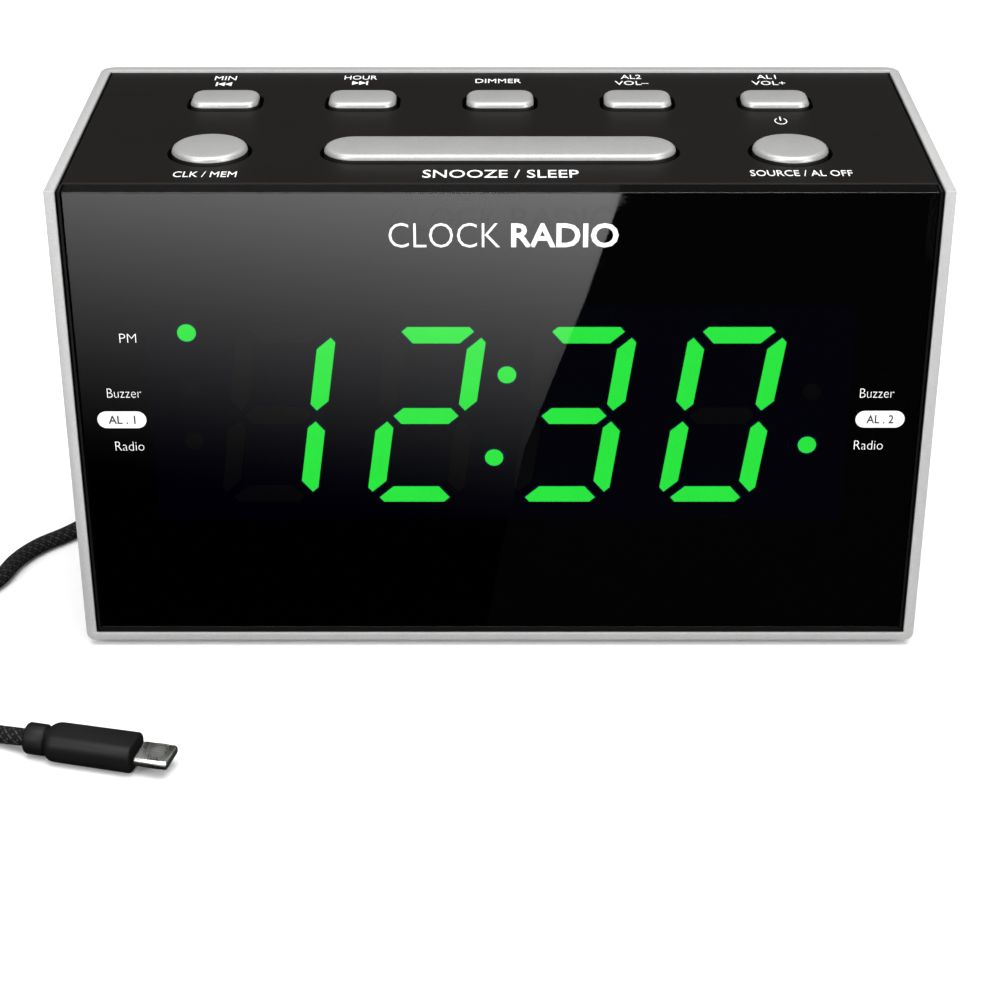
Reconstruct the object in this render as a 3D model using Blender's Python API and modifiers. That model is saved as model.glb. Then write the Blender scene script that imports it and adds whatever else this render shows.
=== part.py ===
"""A bedside clock radio, built as separate pieces that go together like the real one.

Units are metres. X points right as seen from the front, Y points to the back and Z points up.
The origin is on the table, under the middle of the case. The case is an open-fronted, open-topped
sleeve. A bezel and a lens close its front, a panel with eight keys closes its top, and the boards,
the loudspeaker and the battery bay are inside it. A charging cord is plugged into the back.
"""

import math

import bmesh
import bpy
from mathutils import Matrix, Vector

# Overall sizes of the case and its walls.
WIDTH = 0.138
DEPTH = 0.0603
BODY_HEIGHT = 0.0796
FOOT_HEIGHT = 0.0012
SIDE_WALL = 0.00165
BOTTOM_WALL = 0.00135
BACK_WALL = 0.0022
CORNER_RADIUS = 0.0024
FLOOR_EDGE_RADIUS = 0.0013
RIM_EDGE = 0.00018
PANEL_EDGE = 0.0002
LENS_EDGE = 0.00012

# Clearances.
FIT = 0.0003
RIM_LIP = 0.0004
KEY_GAP = 0.0007
SEAM = 0.0003
OVERLAP = 0.0005
CUT = 0.001
SHORT_EDGE = 0.00005

# Front: lens, bezel and display.
LENS_THICKNESS = 0.0034
BEZEL_RIM = 0.00035
BEZEL_PLATE = 0.002
REFLECTOR_SIZE = (0.112, 0.038)
REFLECTOR_DEPTH = 0.008
REFLECTOR_FRONT = 0.0016
REFLECTOR_WALL = 0.0012
GUIDE_PLATE = 0.001
WINDOW_SINK = 0.0001
DISPLAY_BOARD_SIZE = (0.124, 0.042)
BOARD_THICKNESS = 0.0016
POST_RADIUS = 0.0022
POST_INSET = (0.0027, 0.004)

# Seven-segment digits.
DIGIT_PITCH = 0.02375
DIGIT_HALF_WIDTH = 0.0078
DIGIT_HALF_HEIGHT = 0.0156
STROKE = 0.0028
SLANT = 0.14
SEGMENT_END = 0.0057
MIDDLE_END = 0.0052
UPRIGHT_LOW = 0.001
UPRIGHT_HIGH = 0.01375
OUTER_CHAMFER = 0.0008
COLON_DROP = 0.0074
COLON_RADIUS = 0.0015
LAMP_X = 0.0495
LAMP_RADIUS = 0.0011
LAMP_PLACES = [(-LAMP_X, 0.0146), (-LAMP_X, 0.0051), (-LAMP_X, -0.0044), (LAMP_X, 0.0043), (LAMP_X, -0.0052)]

# Top panel, keys and the switches under them.
PANEL_THICKNESS = 0.002
KEY_ROW = 0.012
KEY_PITCH = 0.0229
SMALL_KEY = (0.0112, 0.0076)
SMALL_KEY_RADIUS = 0.0022
ROUND_KEY = 0.012
SNOOZE_KEY = (0.0555, 0.0096)
KEY_PROUD = 0.0012
KEY_FILLET = 0.0009
KEY_FILLET_STEPS = 4
KEY_FLANGE = 0.0009
FLANGE_THICKNESS = 0.001
KEY_TRAVEL = 0.0006
SWITCH_SIZE = 0.006
SWITCH_HEIGHT = 0.0036
PLUNGER_RADIUS = 0.0017
PLUNGER_LENGTH = 0.0032
KEY_BOARD_SIZE = (0.124, 0.037)
KEY_BOARD_THICKNESS = 0.0012
KEY_BOARD_DROP = 0.0064
KEY_SCREW_X = 0.0585
KEY_SCREW_LENGTH = 0.006
STANDOFF_RADIUS = 0.003

# Screws, feet and what they go into.
SHANK_RADIUS = 0.0011
SCREW_HOLE = 0.0014
HEAD_RADIUS = 0.0026
HEAD_HEIGHT = 0.0014
SCREW_LENGTH = 0.0075
SCREW_POINT = 0.001
SCREW_SLOT_HALF = 0.0003
SCREW_SINK = 0.002
SCREW_ROOM = 0.01
PAD_RADIUS = 0.004
PANEL_BLOCK_DEPTH = 0.0065
PANEL_HOLE_DEPTH = 0.0058
BEZEL_BLOCK_HEIGHT = 0.009
BEZEL_HOLE_DEPTH = 0.008
REAR_SCREW_INSET = 0.017
REAR_SCREW_DROP = 0.007
FRONT_SCREW_INSET = 0.024
FOOT_RADIUS = 0.005
FOOT_INSET = (0.01, 0.0092)
FOOT_RECESS = 0.0006
FOOT_EDGE = 0.0005

# Boards and parts on the main board.
MAIN_BOARD_X = (-0.064, -0.001)
MAIN_BOARD_FRONT_Y = -0.014
MAIN_BOARD_LIFT = 0.00645
STAKE_RADIUS = 0.001
STAKE_SHOULDER = 0.0025
STAKE_INSET = (0.0035, 0.004, 0.0115)
USB_X = -0.040
USB_OUTER = (0.0134, 0.0145, 0.0059)
USB_SHELL = 0.0004
USB_CAVITY_DEPTH = 0.013
USB_TONGUE_HALF = 0.0053
USB_TONGUE_Z = (0.00025, 0.0015)
USB_TONGUE_SET_BACK = 0.0035
JACK_X = -0.018
JACK_SIZE = (0.009, 0.011, 0.009)
JACK_NOSE_RADIUS = 0.0036
JACK_BORE_RADIUS = 0.0028
JACK_PIN_RADIUS = 0.0009
JACK_BORE_DEPTH = 0.0065
GROMMET_X = -0.057
GROMMET_Z = 0.0165
GROMMET_RADIUS = 0.003
GROMMET_BORE = 0.0009
GROMMET_FLANGE = (0.0012, 0.0014)
RIBBON_THICKNESS = 0.0007

# Loudspeaker.
SPEAKER_X = 0.032
SPEAKER_Z = 0.0435
SPEAKER_RADIUS = 0.0204
SPEAKER_RIB = 0.0012
SPEAKER_RIB_DEPTH = 0.004
SPEAKER_SEAT = 0.0002
GRILLE_RADIUS = 0.0165
GRILLE_SLOT = 0.002
GRILLE_PITCH = 0.0042
GRILLE_SLOTS = 7

# Battery bay under the right half. Its size follows from its two cells.
BAY_X = 0.030
BAY_WALL = 0.0016
DOOR_LIP = 0.001
DOOR_THICKNESS = 0.0012
DOOR_NOTCH = (0.012, 0.0035, 0.0005)
CELL_RADIUS = 0.00525
CELL_LENGTH = 0.0445
CELL_SPACING = 0.0007
CELL_SIDE_ROOM = 0.00095
CELL_HEADROOM = 0.001
CELL_CONTACT_ROOM = 0.0055
CELL_CLEARANCE = 0.0004
CONTACT_PLATE = 0.0005
CONTACT_HALF_HEIGHT = 0.004

# Charging cord: plug, free cord, coil, tie and connector.
PLUG_SHELL = (0.012, 0.0045)
PLUG_SHELL_WALL = 0.0003
PLUG_TONGUE_TOP = 0.0002
PLUG_IN = 0.0115
PLUG_BODY = (0.0156, 0.018, 0.0078)
PLUG_STANDOFF = 0.0005
PLUG_EDGE = 0.0014
BOOT_LENGTH = 0.009
BOOT_RADII = (0.0034, 0.0021)
CORD_DIAMETER = 0.0028
# The cord's points are laid for a case of this half width and half depth. beside_case moves them for others.
LAID_HALF_WIDTH = 0.069
LAID_HALF_DEPTH = 0.03015
CORD_ROUTE_NEAR = [
    (-0.0400, 0.0635, 0.0134), (-0.0410, 0.0700, 0.0112), (-0.0440, 0.0755, 0.0074), (-0.0495, 0.0785, 0.0036),
    (-0.0565, 0.0770, 0.0017), (-0.0635, 0.0695, 0.00145), (-0.0685, 0.0580, 0.00145), (-0.0715, 0.0450, 0.00145),
    (-0.0720, 0.0320, 0.00145), (-0.0720, 0.0205, 0.00145), (-0.0736, 0.0124, 0.00145), (-0.0778, 0.0063, 0.00145),
    (-0.0826, 0.0014, 0.00145), (-0.0857, -0.0040, 0.00145), (-0.0876, -0.0105, 0.00145),
    (-0.0908, -0.0150, 0.00145), (-0.0965, -0.0172, 0.00145),
]
CORD_ROUTE_FAR = [
    (-0.0965, -0.0540, 0.0056), (-0.0905, -0.0546, 0.0036), (-0.0850, -0.0559, 0.0020),
    (-0.0808, -0.0576, 0.0015), (-0.0781, -0.0589, 0.0018), (-0.0757, -0.0601, 0.0023),
]
CORD_GAP = 0.0004
CORD_POINT_STEP = 0.0065
COIL_CENTRE = (-0.109, -0.0355)
COIL_RADIUS = 0.0154
COIL_TURNS_ACROSS = 3
TIE_WIDTH = 0.0045
TIE_THICKNESS = 0.0004
CONNECTOR_TAIL = (-0.0734, -0.0610, 0.0026)
CONNECTOR_HEADING = math.radians(-13.5)
COLLAR_LENGTH = 0.0036
COLLAR_RADIUS = 0.0025
COLLAR_END_RADIUS = 0.002
CONNECTOR_BODY = (0.0145, 0.0068, 0.0047)
CONNECTOR_EDGE = 0.0015
CONNECTOR_TIP = (0.0055, 0.0054, 0.0015)
CONNECTOR_TIP_EDGE = 0.0006

# Planes that follow from the sizes above.
FRONT_Y = -DEPTH / 2
BACK_Y = DEPTH / 2
BODY_Z = FOOT_HEIGHT
RIM_Z = BODY_Z + BODY_HEIGHT
INNER_X = WIDTH / 2 - SIDE_WALL
INNER_FLOOR_Z = BODY_Z + BOTTOM_WALL
INNER_BACK_Y = BACK_Y - BACK_WALL
LENS_FRONT_Y = FRONT_Y + RIM_LIP
LENS_BACK_Y = LENS_FRONT_Y + LENS_THICKNESS
BEZEL_X = INNER_X - FIT
BEZEL_LOW_Z = INNER_FLOOR_Z + FIT
BEZEL_FRONT_Y = LENS_BACK_Y + FIT
BEZEL_BACK_Y = BEZEL_FRONT_Y + BEZEL_PLATE
PANEL_Z = RIM_Z - RIM_LIP
PANEL_UNDER_Z = PANEL_Z - PANEL_THICKNESS
DIGITS_Z = BODY_Z + BODY_HEIGHT / 2
REFLECTOR_BACK_Y = BEZEL_FRONT_Y + REFLECTOR_DEPTH
GUIDE_FRONT_Y = BEZEL_FRONT_Y + REFLECTOR_FRONT + FIT
DISPLAY_BOARD_Y = REFLECTOR_BACK_Y + FIT
FLANGE_TOP_Z = PANEL_UNDER_Z - FIT
FLANGE_LOW_Z = FLANGE_TOP_Z - FLANGE_THICKNESS
PLUNGER_TOP_Z = FLANGE_LOW_Z - FIT
KEY_BOARD_Z = PANEL_UNDER_Z - KEY_BOARD_DROP
KEY_BOARD_LOW_Z = KEY_BOARD_Z - KEY_BOARD_THICKNESS
REAR_SCREW_X = WIDTH / 2 - REAR_SCREW_INSET
REAR_SCREW_Z = PANEL_UNDER_Z - REAR_SCREW_DROP
REAR_SEAT_Y = BACK_Y - SCREW_SINK
REAR_PAD_Y = INNER_BACK_Y - SCREW_SINK
FRONT_SCREW_X = WIDTH / 2 - FRONT_SCREW_INSET
FRONT_SCREW_Y = BEZEL_BACK_Y + FIT + PAD_RADIUS
FRONT_SEAT_Z = BODY_Z + SCREW_SINK
FRONT_PAD_Z = INNER_FLOOR_Z + SCREW_SINK
MAIN_BOARD_Z = INNER_FLOOR_Z + MAIN_BOARD_LIFT
MAIN_BOARD_TOP_Z = MAIN_BOARD_Z + BOARD_THICKNESS
MAIN_BOARD_BACK_Y = INNER_BACK_Y - 2 * FIT
PARTS_Z = MAIN_BOARD_TOP_Z + FIT
USB_Z = PARTS_Z + USB_OUTER[2] / 2
JACK_Z = PARTS_Z + JACK_SIZE[2] / 2
PORT_FACE_Y = BACK_Y - FIT
CELL_PITCH = 2 * CELL_RADIUS + CELL_SPACING
BAY_SIZE = (CELL_LENGTH + CELL_CONTACT_ROOM, CELL_PITCH + 2 * CELL_RADIUS + 2 * CELL_SIDE_ROOM)
BAY_HEIGHT = 2 * CELL_RADIUS + CELL_HEADROOM
BAY_LEDGE_Z = BODY_Z + DOOR_THICKNESS + FIT
BAY_TOP_Z = BAY_LEDGE_Z + BAY_HEIGHT
DOOR_SIZE = (BAY_SIZE[0] + 2 * DOOR_LIP, BAY_SIZE[1] + 2 * DOOR_LIP)
DOOR_HINGE = (BAY_X, DOOR_SIZE[1] / 2 - DOOR_THICKNESS / 2, BODY_Z + DOOR_THICKNESS / 2)
CELL_Z = BAY_LEDGE_Z + CELL_CLEARANCE + CELL_RADIUS
STAKES = [
    (x, y)
    for x in (MAIN_BOARD_X[0] + STAKE_INSET[0], MAIN_BOARD_X[1] - STAKE_INSET[0])
    for y in (MAIN_BOARD_FRONT_Y + STAKE_INSET[1], MAIN_BOARD_BACK_Y - STAKE_INSET[2])
]
COIL_SECTION = COIL_TURNS_ACROSS * CORD_DIAMETER
KEYS = [
    ("minute", (-2 * KEY_PITCH, KEY_ROW), SMALL_KEY, SMALL_KEY_RADIUS),
    ("hour", (-KEY_PITCH, KEY_ROW), SMALL_KEY, SMALL_KEY_RADIUS),
    ("dimmer", (0.0, KEY_ROW), SMALL_KEY, SMALL_KEY_RADIUS),
    ("volume_down", (KEY_PITCH, KEY_ROW), SMALL_KEY, SMALL_KEY_RADIUS),
    ("volume_up", (2 * KEY_PITCH, KEY_ROW), SMALL_KEY, SMALL_KEY_RADIUS),
    ("clock_memory", (-2 * KEY_PITCH, -KEY_ROW), (ROUND_KEY, ROUND_KEY), ROUND_KEY / 2),
    ("snooze", (0.0, -KEY_ROW), SNOOZE_KEY, SNOOZE_KEY[1] / 2),
    ("source", (2 * KEY_PITCH, -KEY_ROW), (ROUND_KEY, ROUND_KEY), ROUND_KEY / 2),
]

SILVER = ((0.60, 0.61, 0.60), 0.38, 0.6)
BLACK = ((0.02, 0.02, 0.022), 0.45, 0.0)
DARK = ((0.03, 0.03, 0.032), 0.7, 0.0)
BOARD_GREEN = ((0.03, 0.16, 0.07), 0.5, 0.0)
STEEL = ((0.62, 0.62, 0.60), 0.3, 1.0)
GOLD = ((0.72, 0.62, 0.35), 0.35, 1.0)


def clear_scene():
    """Empties the scene and makes the collections for the pieces and for the cutting tools."""
    for thing in list(bpy.data.objects):
        bpy.data.objects.remove(thing)
    pieces = bpy.data.collections.new("clock_radio")
    tools = bpy.data.collections.new("cutters")
    for group in (pieces, tools):
        bpy.context.scene.collection.children.link(group)
    frame = bpy.data.objects.new("clock_radio_frame", None)
    pieces.objects.link(frame)
    return pieces, tools, frame


PIECES, TOOLS, FRAME = clear_scene()


def finish(name, look):
    """A plain material from a colour, a roughness and a metallic value."""
    colour, roughness, metallic = look
    material = bpy.data.materials.new(f"{name}_finish")
    material.use_nodes = True
    shader = material.node_tree.nodes["Principled BSDF"]
    shader.inputs["Base Color"].default_value = (*colour, 1.0)
    shader.inputs["Roughness"].default_value = roughness
    shader.inputs["Metallic"].default_value = metallic
    return material


def add_box(bm, low, high):
    """Adds a box between two corners and returns its edges."""
    size = [b - a for a, b in zip(low, high)]
    centre = Vector([(a + b) / 2 for a, b in zip(low, high)])
    matrix = Matrix.Translation(centre) @ Matrix.Diagonal((*size, 1.0))
    corners = bmesh.ops.create_cube(bm, size=1.0, matrix=matrix)["verts"]
    return list({edge for corner in corners for edge in corner.link_edges})


def add_rod(bm, start, length, radius, axis="Z", segments=24, end_radius=None):
    """Adds a solid rod or cone that runs from a point along an axis."""
    turn = {"X": Matrix.Rotation(math.pi / 2, 4, "Y"), "Y": Matrix.Rotation(-math.pi / 2, 4, "X"), "Z": Matrix()}
    matrix = Matrix.Translation(Vector(start)) @ turn[axis] @ Matrix.Translation((0, 0, length / 2))
    bmesh.ops.create_cone(
        bm, cap_ends=True, segments=segments, radius1=radius,
        radius2=radius if end_radius is None else end_radius, depth=length, matrix=matrix,
    )


def edges_along(edges, axis):
    """The edges that run parallel to an axis."""
    def runs(edge):
        step = edge.verts[1].co - edge.verts[0].co
        return abs(step[axis]) > 0.9 * step.length
    return [edge for edge in edges if runs(edge)]


def edges_at(edges, axis, value):
    """The edges that lie in a plane across an axis."""
    return [edge for edge in edges if all(abs(v.co[axis] - value) < 1e-6 for v in edge.verts)]


def round_edges(bm, edges, radius, segments):
    """Rounds a set of edges."""
    bmesh.ops.bevel(
        bm, geom=edges, offset=radius, offset_type="OFFSET", segments=segments, profile=0.5, affect="EDGES",
        clamp_overlap=True,
    )


def add_slab(bm, size, low_z, high_z, corner, segments, top_edge=0.0, top_steps=3):
    """Adds an upright slab about the Z axis, with rounded corners and, if asked, a rounded top edge."""
    half_x, half_y = size[0] / 2, size[1] / 2
    edges = add_box(bm, (-half_x, -half_y, low_z), (half_x, half_y, high_z))
    corner = min(corner, min(half_x, half_y) * 0.999)
    round_edges(bm, edges_along(edges, 2), corner, segments)
    bmesh.ops.remove_doubles(bm, verts=bm.verts, dist=SHORT_EDGE)
    if top_edge:
        round_edges(bm, edges_at(list(bm.edges), 2, high_z), top_edge, top_steps)


def add_prism(bm, outline, front_y, back_y):
    """Adds a flat outline in X and Z, given anticlockwise from the front, thick in Y."""
    front = [bm.verts.new((x, front_y, z)) for x, z in outline]
    face = bm.faces.new(front)
    made = bmesh.ops.extrude_face_region(bm, geom=[face])["geom"]
    moved = [item for item in made if isinstance(item, bmesh.types.BMVert)]
    bmesh.ops.translate(bm, verts=moved, vec=(0.0, back_y - front_y, 0.0))


def mesh_object(name, bm, look=None, place=(0.0, 0.0, 0.0), turn=(0.0, 0.0, 0.0), parent=None):
    """Turns a bmesh into a piece, or into a cutting tool if it has no look."""
    bmesh.ops.recalc_face_normals(bm, faces=bm.faces)
    mesh = bpy.data.meshes.new(name)
    bm.to_mesh(mesh)
    bm.free()
    return place_object(name, mesh, look, place, turn, parent)


def place_object(name, data, look, place, turn=(0.0, 0.0, 0.0), parent=None):
    """Links an object for some mesh or curve, parented to the frame unless told otherwise."""
    thing = bpy.data.objects.new(name, data)
    thing.location = place
    thing.rotation_euler = turn
    if look is None:
        TOOLS.objects.link(thing)
        thing.hide_render = True
        thing.display_type = "WIRE"
        return thing
    PIECES.objects.link(thing)
    thing.parent = parent or FRAME
    if not data.materials:
        data.materials.append(finish(name, look))
    return thing


def combine(thing, tool, operation):
    """Joins a tool's mesh to a piece, or cuts it out, with a Boolean modifier."""
    step = thing.modifiers.new(f"{operation.lower()}_{tool.name}", "BOOLEAN")
    step.operation = operation
    step.solver = "EXACT"
    step.object = tool


def soften(thing, width, segments=2, angle=40.0):
    """Bevels the sharp edges that a piece has so far."""
    step = thing.modifiers.new("softened_edges", "BEVEL")
    step.width = width
    step.segments = segments
    step.limit_method = "ANGLE"
    step.angle_limit = math.radians(angle)


def smooth(thing, angle=35.0):
    """Shades a piece smooth, apart from its sharp edges."""
    thing.data.shade_smooth()
    thing.data.set_sharp_from_angle(angle=math.radians(angle))


def turned(name, profile, look, place, turn=(0.0, 0.0, 0.0), steps=32, closed=False, parent=None):
    """A turned piece: a profile of (radius, height) points spun about the local Z axis."""
    mesh = bpy.data.meshes.new(name)
    edges = [(i, i + 1) for i in range(len(profile) - 1)]
    if closed:
        edges.append((len(profile) - 1, 0))
    mesh.from_pydata([(radius, 0.0, height) for radius, height in profile], edges, [])
    thing = place_object(name, mesh, look, place, turn, parent)
    spin = thing.modifiers.new("turned", "SCREW")
    spin.axis = "Z"
    spin.angle = math.tau
    spin.steps = steps
    spin.render_steps = steps
    spin.use_merge_vertices = True
    spin.merge_threshold = 0.00001
    spin.use_smooth_shade = True
    return thing


def segment_outline(start, end, start_tip, end_tip, grow):
    """A display segment along its own axis: (along, across) points, with a 45 degree point at each end.

    Across runs from 0 at the inner side to the stroke at the outer side. A tip is where a point sits
    across. Grow makes the same outline larger all round, for the slot that the segment shines through.
    """
    reach = grow * math.sqrt(2.0)
    low, high = -grow, STROKE + grow
    start, end = start - reach, end + reach
    return [
        (start, start_tip), (start + start_tip - low, low), (end - (end_tip - low), low),
        (end, end_tip), (end - (high - end_tip), high), (start + high - start_tip, high),
    ]


def digit_segments(grow):
    """The seven outlines of a digit, as (x, z) about its centre, upright and not yet slanted."""
    flat_tip = STROKE - OUTER_CHAMFER
    inner_tip = STROKE * 0.4
    bar = segment_outline(-SEGMENT_END, SEGMENT_END, flat_tip, flat_tip, grow)
    middle = segment_outline(-MIDDLE_END, MIDDLE_END, STROKE / 2, STROKE / 2, grow)
    upright = segment_outline(UPRIGHT_LOW, UPRIGHT_HIGH, inner_tip, flat_tip, grow)
    inner_x = DIGIT_HALF_WIDTH - STROKE
    inner_z = DIGIT_HALF_HEIGHT - STROKE
    found = [[(along, across - STROKE / 2) for along, across in middle]]
    for side in (1, -1):
        found.append([(along, side * (inner_z + across)) for along, across in bar])
        for level in (1, -1):
            found.append([(side * (inner_x + across), level * along) for along, across in upright])
    return found


def anticlockwise(outline):
    """The same outline, running anticlockwise."""
    twice_area = sum(a[0] * b[1] - b[0] * a[1] for a, b in zip(outline, outline[1:] + outline[:1]))
    return outline if twice_area > 0 else outline[::-1]


def add_display_windows(bm, front_y, back_y, grow):
    """Adds a prism for each segment, colon dot and lamp of the display."""
    for number in range(4):
        centre_x = (number - 1.5) * DIGIT_PITCH
        for outline in digit_segments(grow):
            slanted = [(centre_x + x + SLANT * z, z) for x, z in outline]
            add_prism(bm, anticlockwise(slanted), front_y, back_y)
    dots = [(SLANT * z, z, COLON_RADIUS) for z in (COLON_DROP, -COLON_DROP)]
    dots += [(x, z, LAMP_RADIUS) for x, z in LAMP_PLACES]
    for x, z, radius in dots:
        add_rod(bm, (x, front_y, z), back_y - front_y, radius + grow, axis="Y", segments=16)


def bay_corner(size, side_x, side_y):
    """A corner of a rectangle about the battery bay's centre."""
    return BAY_X + side_x * size[0] / 2, side_y * size[1] / 2


def cabinet():
    """The silver sleeve: floor, two sides and back, with everything moulded inside it."""
    bm = bmesh.new()
    edges = add_box(bm, (-WIDTH / 2, FRONT_Y, BODY_Z), (WIDTH / 2, BACK_Y, RIM_Z))
    round_edges(bm, edges_at(edges_along(edges, 2), 1, BACK_Y), CORNER_RADIUS, 4)
    around_floor = edges_at(list(bm.edges), 2, BODY_Z)
    front_edge = edges_at(around_floor, 1, FRONT_Y)
    round_edges(bm, [edge for edge in around_floor if edge not in front_edge], FLOOR_EDGE_RADIUS, 3)
    thing = mesh_object("cabinet", bm, SILVER)

    bm = bmesh.new()
    add_box(bm, (-INNER_X, FRONT_Y - CUT, INNER_FLOOR_Z), (INNER_X, INNER_BACK_Y, RIM_Z + CUT))
    combine(thing, mesh_object("cabinet_hollow", bm), "DIFFERENCE")
    soften(thing, RIM_EDGE)

    bm = bmesh.new()
    low_x, low_y = bay_corner(BAY_SIZE, -1, -1)
    high_x, high_y = bay_corner(BAY_SIZE, 1, 1)
    add_box(
        bm, (low_x - BAY_WALL, low_y - BAY_WALL, INNER_FLOOR_Z - OVERLAP),
        (high_x + BAY_WALL, high_y + BAY_WALL, BAY_TOP_Z + BAY_WALL),
    )
    for x, y in STAKES:
        add_rod(bm, (x, y, INNER_FLOOR_Z - OVERLAP), MAIN_BOARD_Z - FIT - INNER_FLOOR_Z + OVERLAP, STAKE_SHOULDER)
    rib = SPEAKER_RADIUS + FIT + SPEAKER_RIB
    add_rod(
        bm, (SPEAKER_X, INNER_BACK_Y - SPEAKER_RIB_DEPTH, SPEAKER_Z), SPEAKER_RIB_DEPTH + OVERLAP, rib, axis="Y",
        segments=48,
    )
    for side in (-1, 1):
        add_rod(bm, (side * REAR_SCREW_X, REAR_PAD_Y, REAR_SCREW_Z), SCREW_SINK + OVERLAP, PAD_RADIUS, axis="Y")
        add_rod(bm, (side * FRONT_SCREW_X, FRONT_SCREW_Y, INNER_FLOOR_Z - OVERLAP), SCREW_SINK + OVERLAP, PAD_RADIUS)
    combine(thing, mesh_object("cabinet_mouldings", bm), "UNION")

    bm = bmesh.new()
    for x, y in STAKES:
        add_rod(bm, (x, y, MAIN_BOARD_Z - 2 * OVERLAP), BOARD_THICKNESS + 3 * OVERLAP, STAKE_RADIUS, segments=12)
    combine(thing, mesh_object("cabinet_stakes", bm), "UNION")

    bm = bmesh.new()
    add_box(bm, (*bay_corner(BAY_SIZE, -1, -1), BODY_Z), (*bay_corner(BAY_SIZE, 1, 1), BAY_TOP_Z))
    add_rod(
        bm, (SPEAKER_X, INNER_BACK_Y - SPEAKER_RIB_DEPTH - CUT, SPEAKER_Z), SPEAKER_RIB_DEPTH + CUT + SPEAKER_SEAT,
        SPEAKER_RADIUS + FIT, axis="Y", segments=48,
    )
    for side in (-1, 1):
        rear = (side * REAR_SCREW_X, REAR_PAD_Y - CUT, REAR_SCREW_Z)
        add_rod(bm, rear, SCREW_ROOM, SCREW_HOLE, axis="Y", segments=16)
        add_rod(bm, (side * FRONT_SCREW_X, FRONT_SCREW_Y, BODY_Z - CUT), SCREW_ROOM, SCREW_HOLE, segments=16)
        for end in (-1, 1):
            add_rod(bm, (*foot_place(side, end), BODY_Z - CUT), CUT + FOOT_RECESS, FOOT_RADIUS + FIT)
    combine(thing, mesh_object("cabinet_bores", bm), "DIFFERENCE")

    bm = bmesh.new()
    low = bay_corner(DOOR_SIZE, -1, -1)
    high = bay_corner(DOOR_SIZE, 1, 1)
    add_box(bm, (low[0] - FIT, low[1] - FIT, BODY_Z - CUT), (high[0] + FIT, high[1] + FIT, BAY_LEDGE_Z))
    for side in (-1, 1):
        add_rod(bm, (side * REAR_SCREW_X, REAR_SEAT_Y, REAR_SCREW_Z), SCREW_ROOM, HEAD_RADIUS + FIT, axis="Y")
        add_rod(bm, (side * FRONT_SCREW_X, FRONT_SCREW_Y, BODY_Z - CUT), CUT + SCREW_SINK, HEAD_RADIUS + FIT)
    add_grille_slots(bm)
    add_port_holes(bm)
    combine(thing, mesh_object("cabinet_openings", bm), "DIFFERENCE")
    smooth(thing)


def foot_place(side, end):
    """The centre of a foot, from the side (-1 left, 1 right) and the end (-1 front, 1 back)."""
    return side * (WIDTH / 2 - FOOT_INSET[0]), end * (DEPTH / 2 - FOOT_INSET[1])


def add_grille_slots(bm):
    """Adds the level slots in front of the loudspeaker, each as long as its circle allows."""
    for number in range(GRILLE_SLOTS):
        rise = (number - (GRILLE_SLOTS - 1) / 2) * GRILLE_PITCH
        half = math.sqrt(GRILLE_RADIUS ** 2 - rise ** 2)
        z = SPEAKER_Z + rise
        edges = add_box(
            bm, (SPEAKER_X - half, INNER_BACK_Y - OVERLAP, z - GRILLE_SLOT / 2),
            (SPEAKER_X + half, BACK_Y + CUT, z + GRILLE_SLOT / 2),
        )
        round_edges(bm, edges_along(edges, 1), GRILLE_SLOT * 0.49, 3)


def add_port_holes(bm):
    """Adds the holes in the back wall for the charging port, the supply jack and the aerial grommet."""
    half_x, half_z = USB_OUTER[0] / 2 + FIT, USB_OUTER[2] / 2 + FIT
    add_box(
        bm, (USB_X - half_x, INNER_BACK_Y - CUT, USB_Z - half_z), (USB_X + half_x, BACK_Y + CUT, USB_Z + half_z)
    )
    wall = BACK_WALL + 2 * CUT
    add_rod(bm, (JACK_X, INNER_BACK_Y - CUT, JACK_Z), wall, JACK_NOSE_RADIUS + FIT, axis="Y", segments=32)
    add_rod(bm, (GROMMET_X, INNER_BACK_Y - CUT, GROMMET_Z), wall, GROMMET_RADIUS + FIT, axis="Y")


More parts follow.
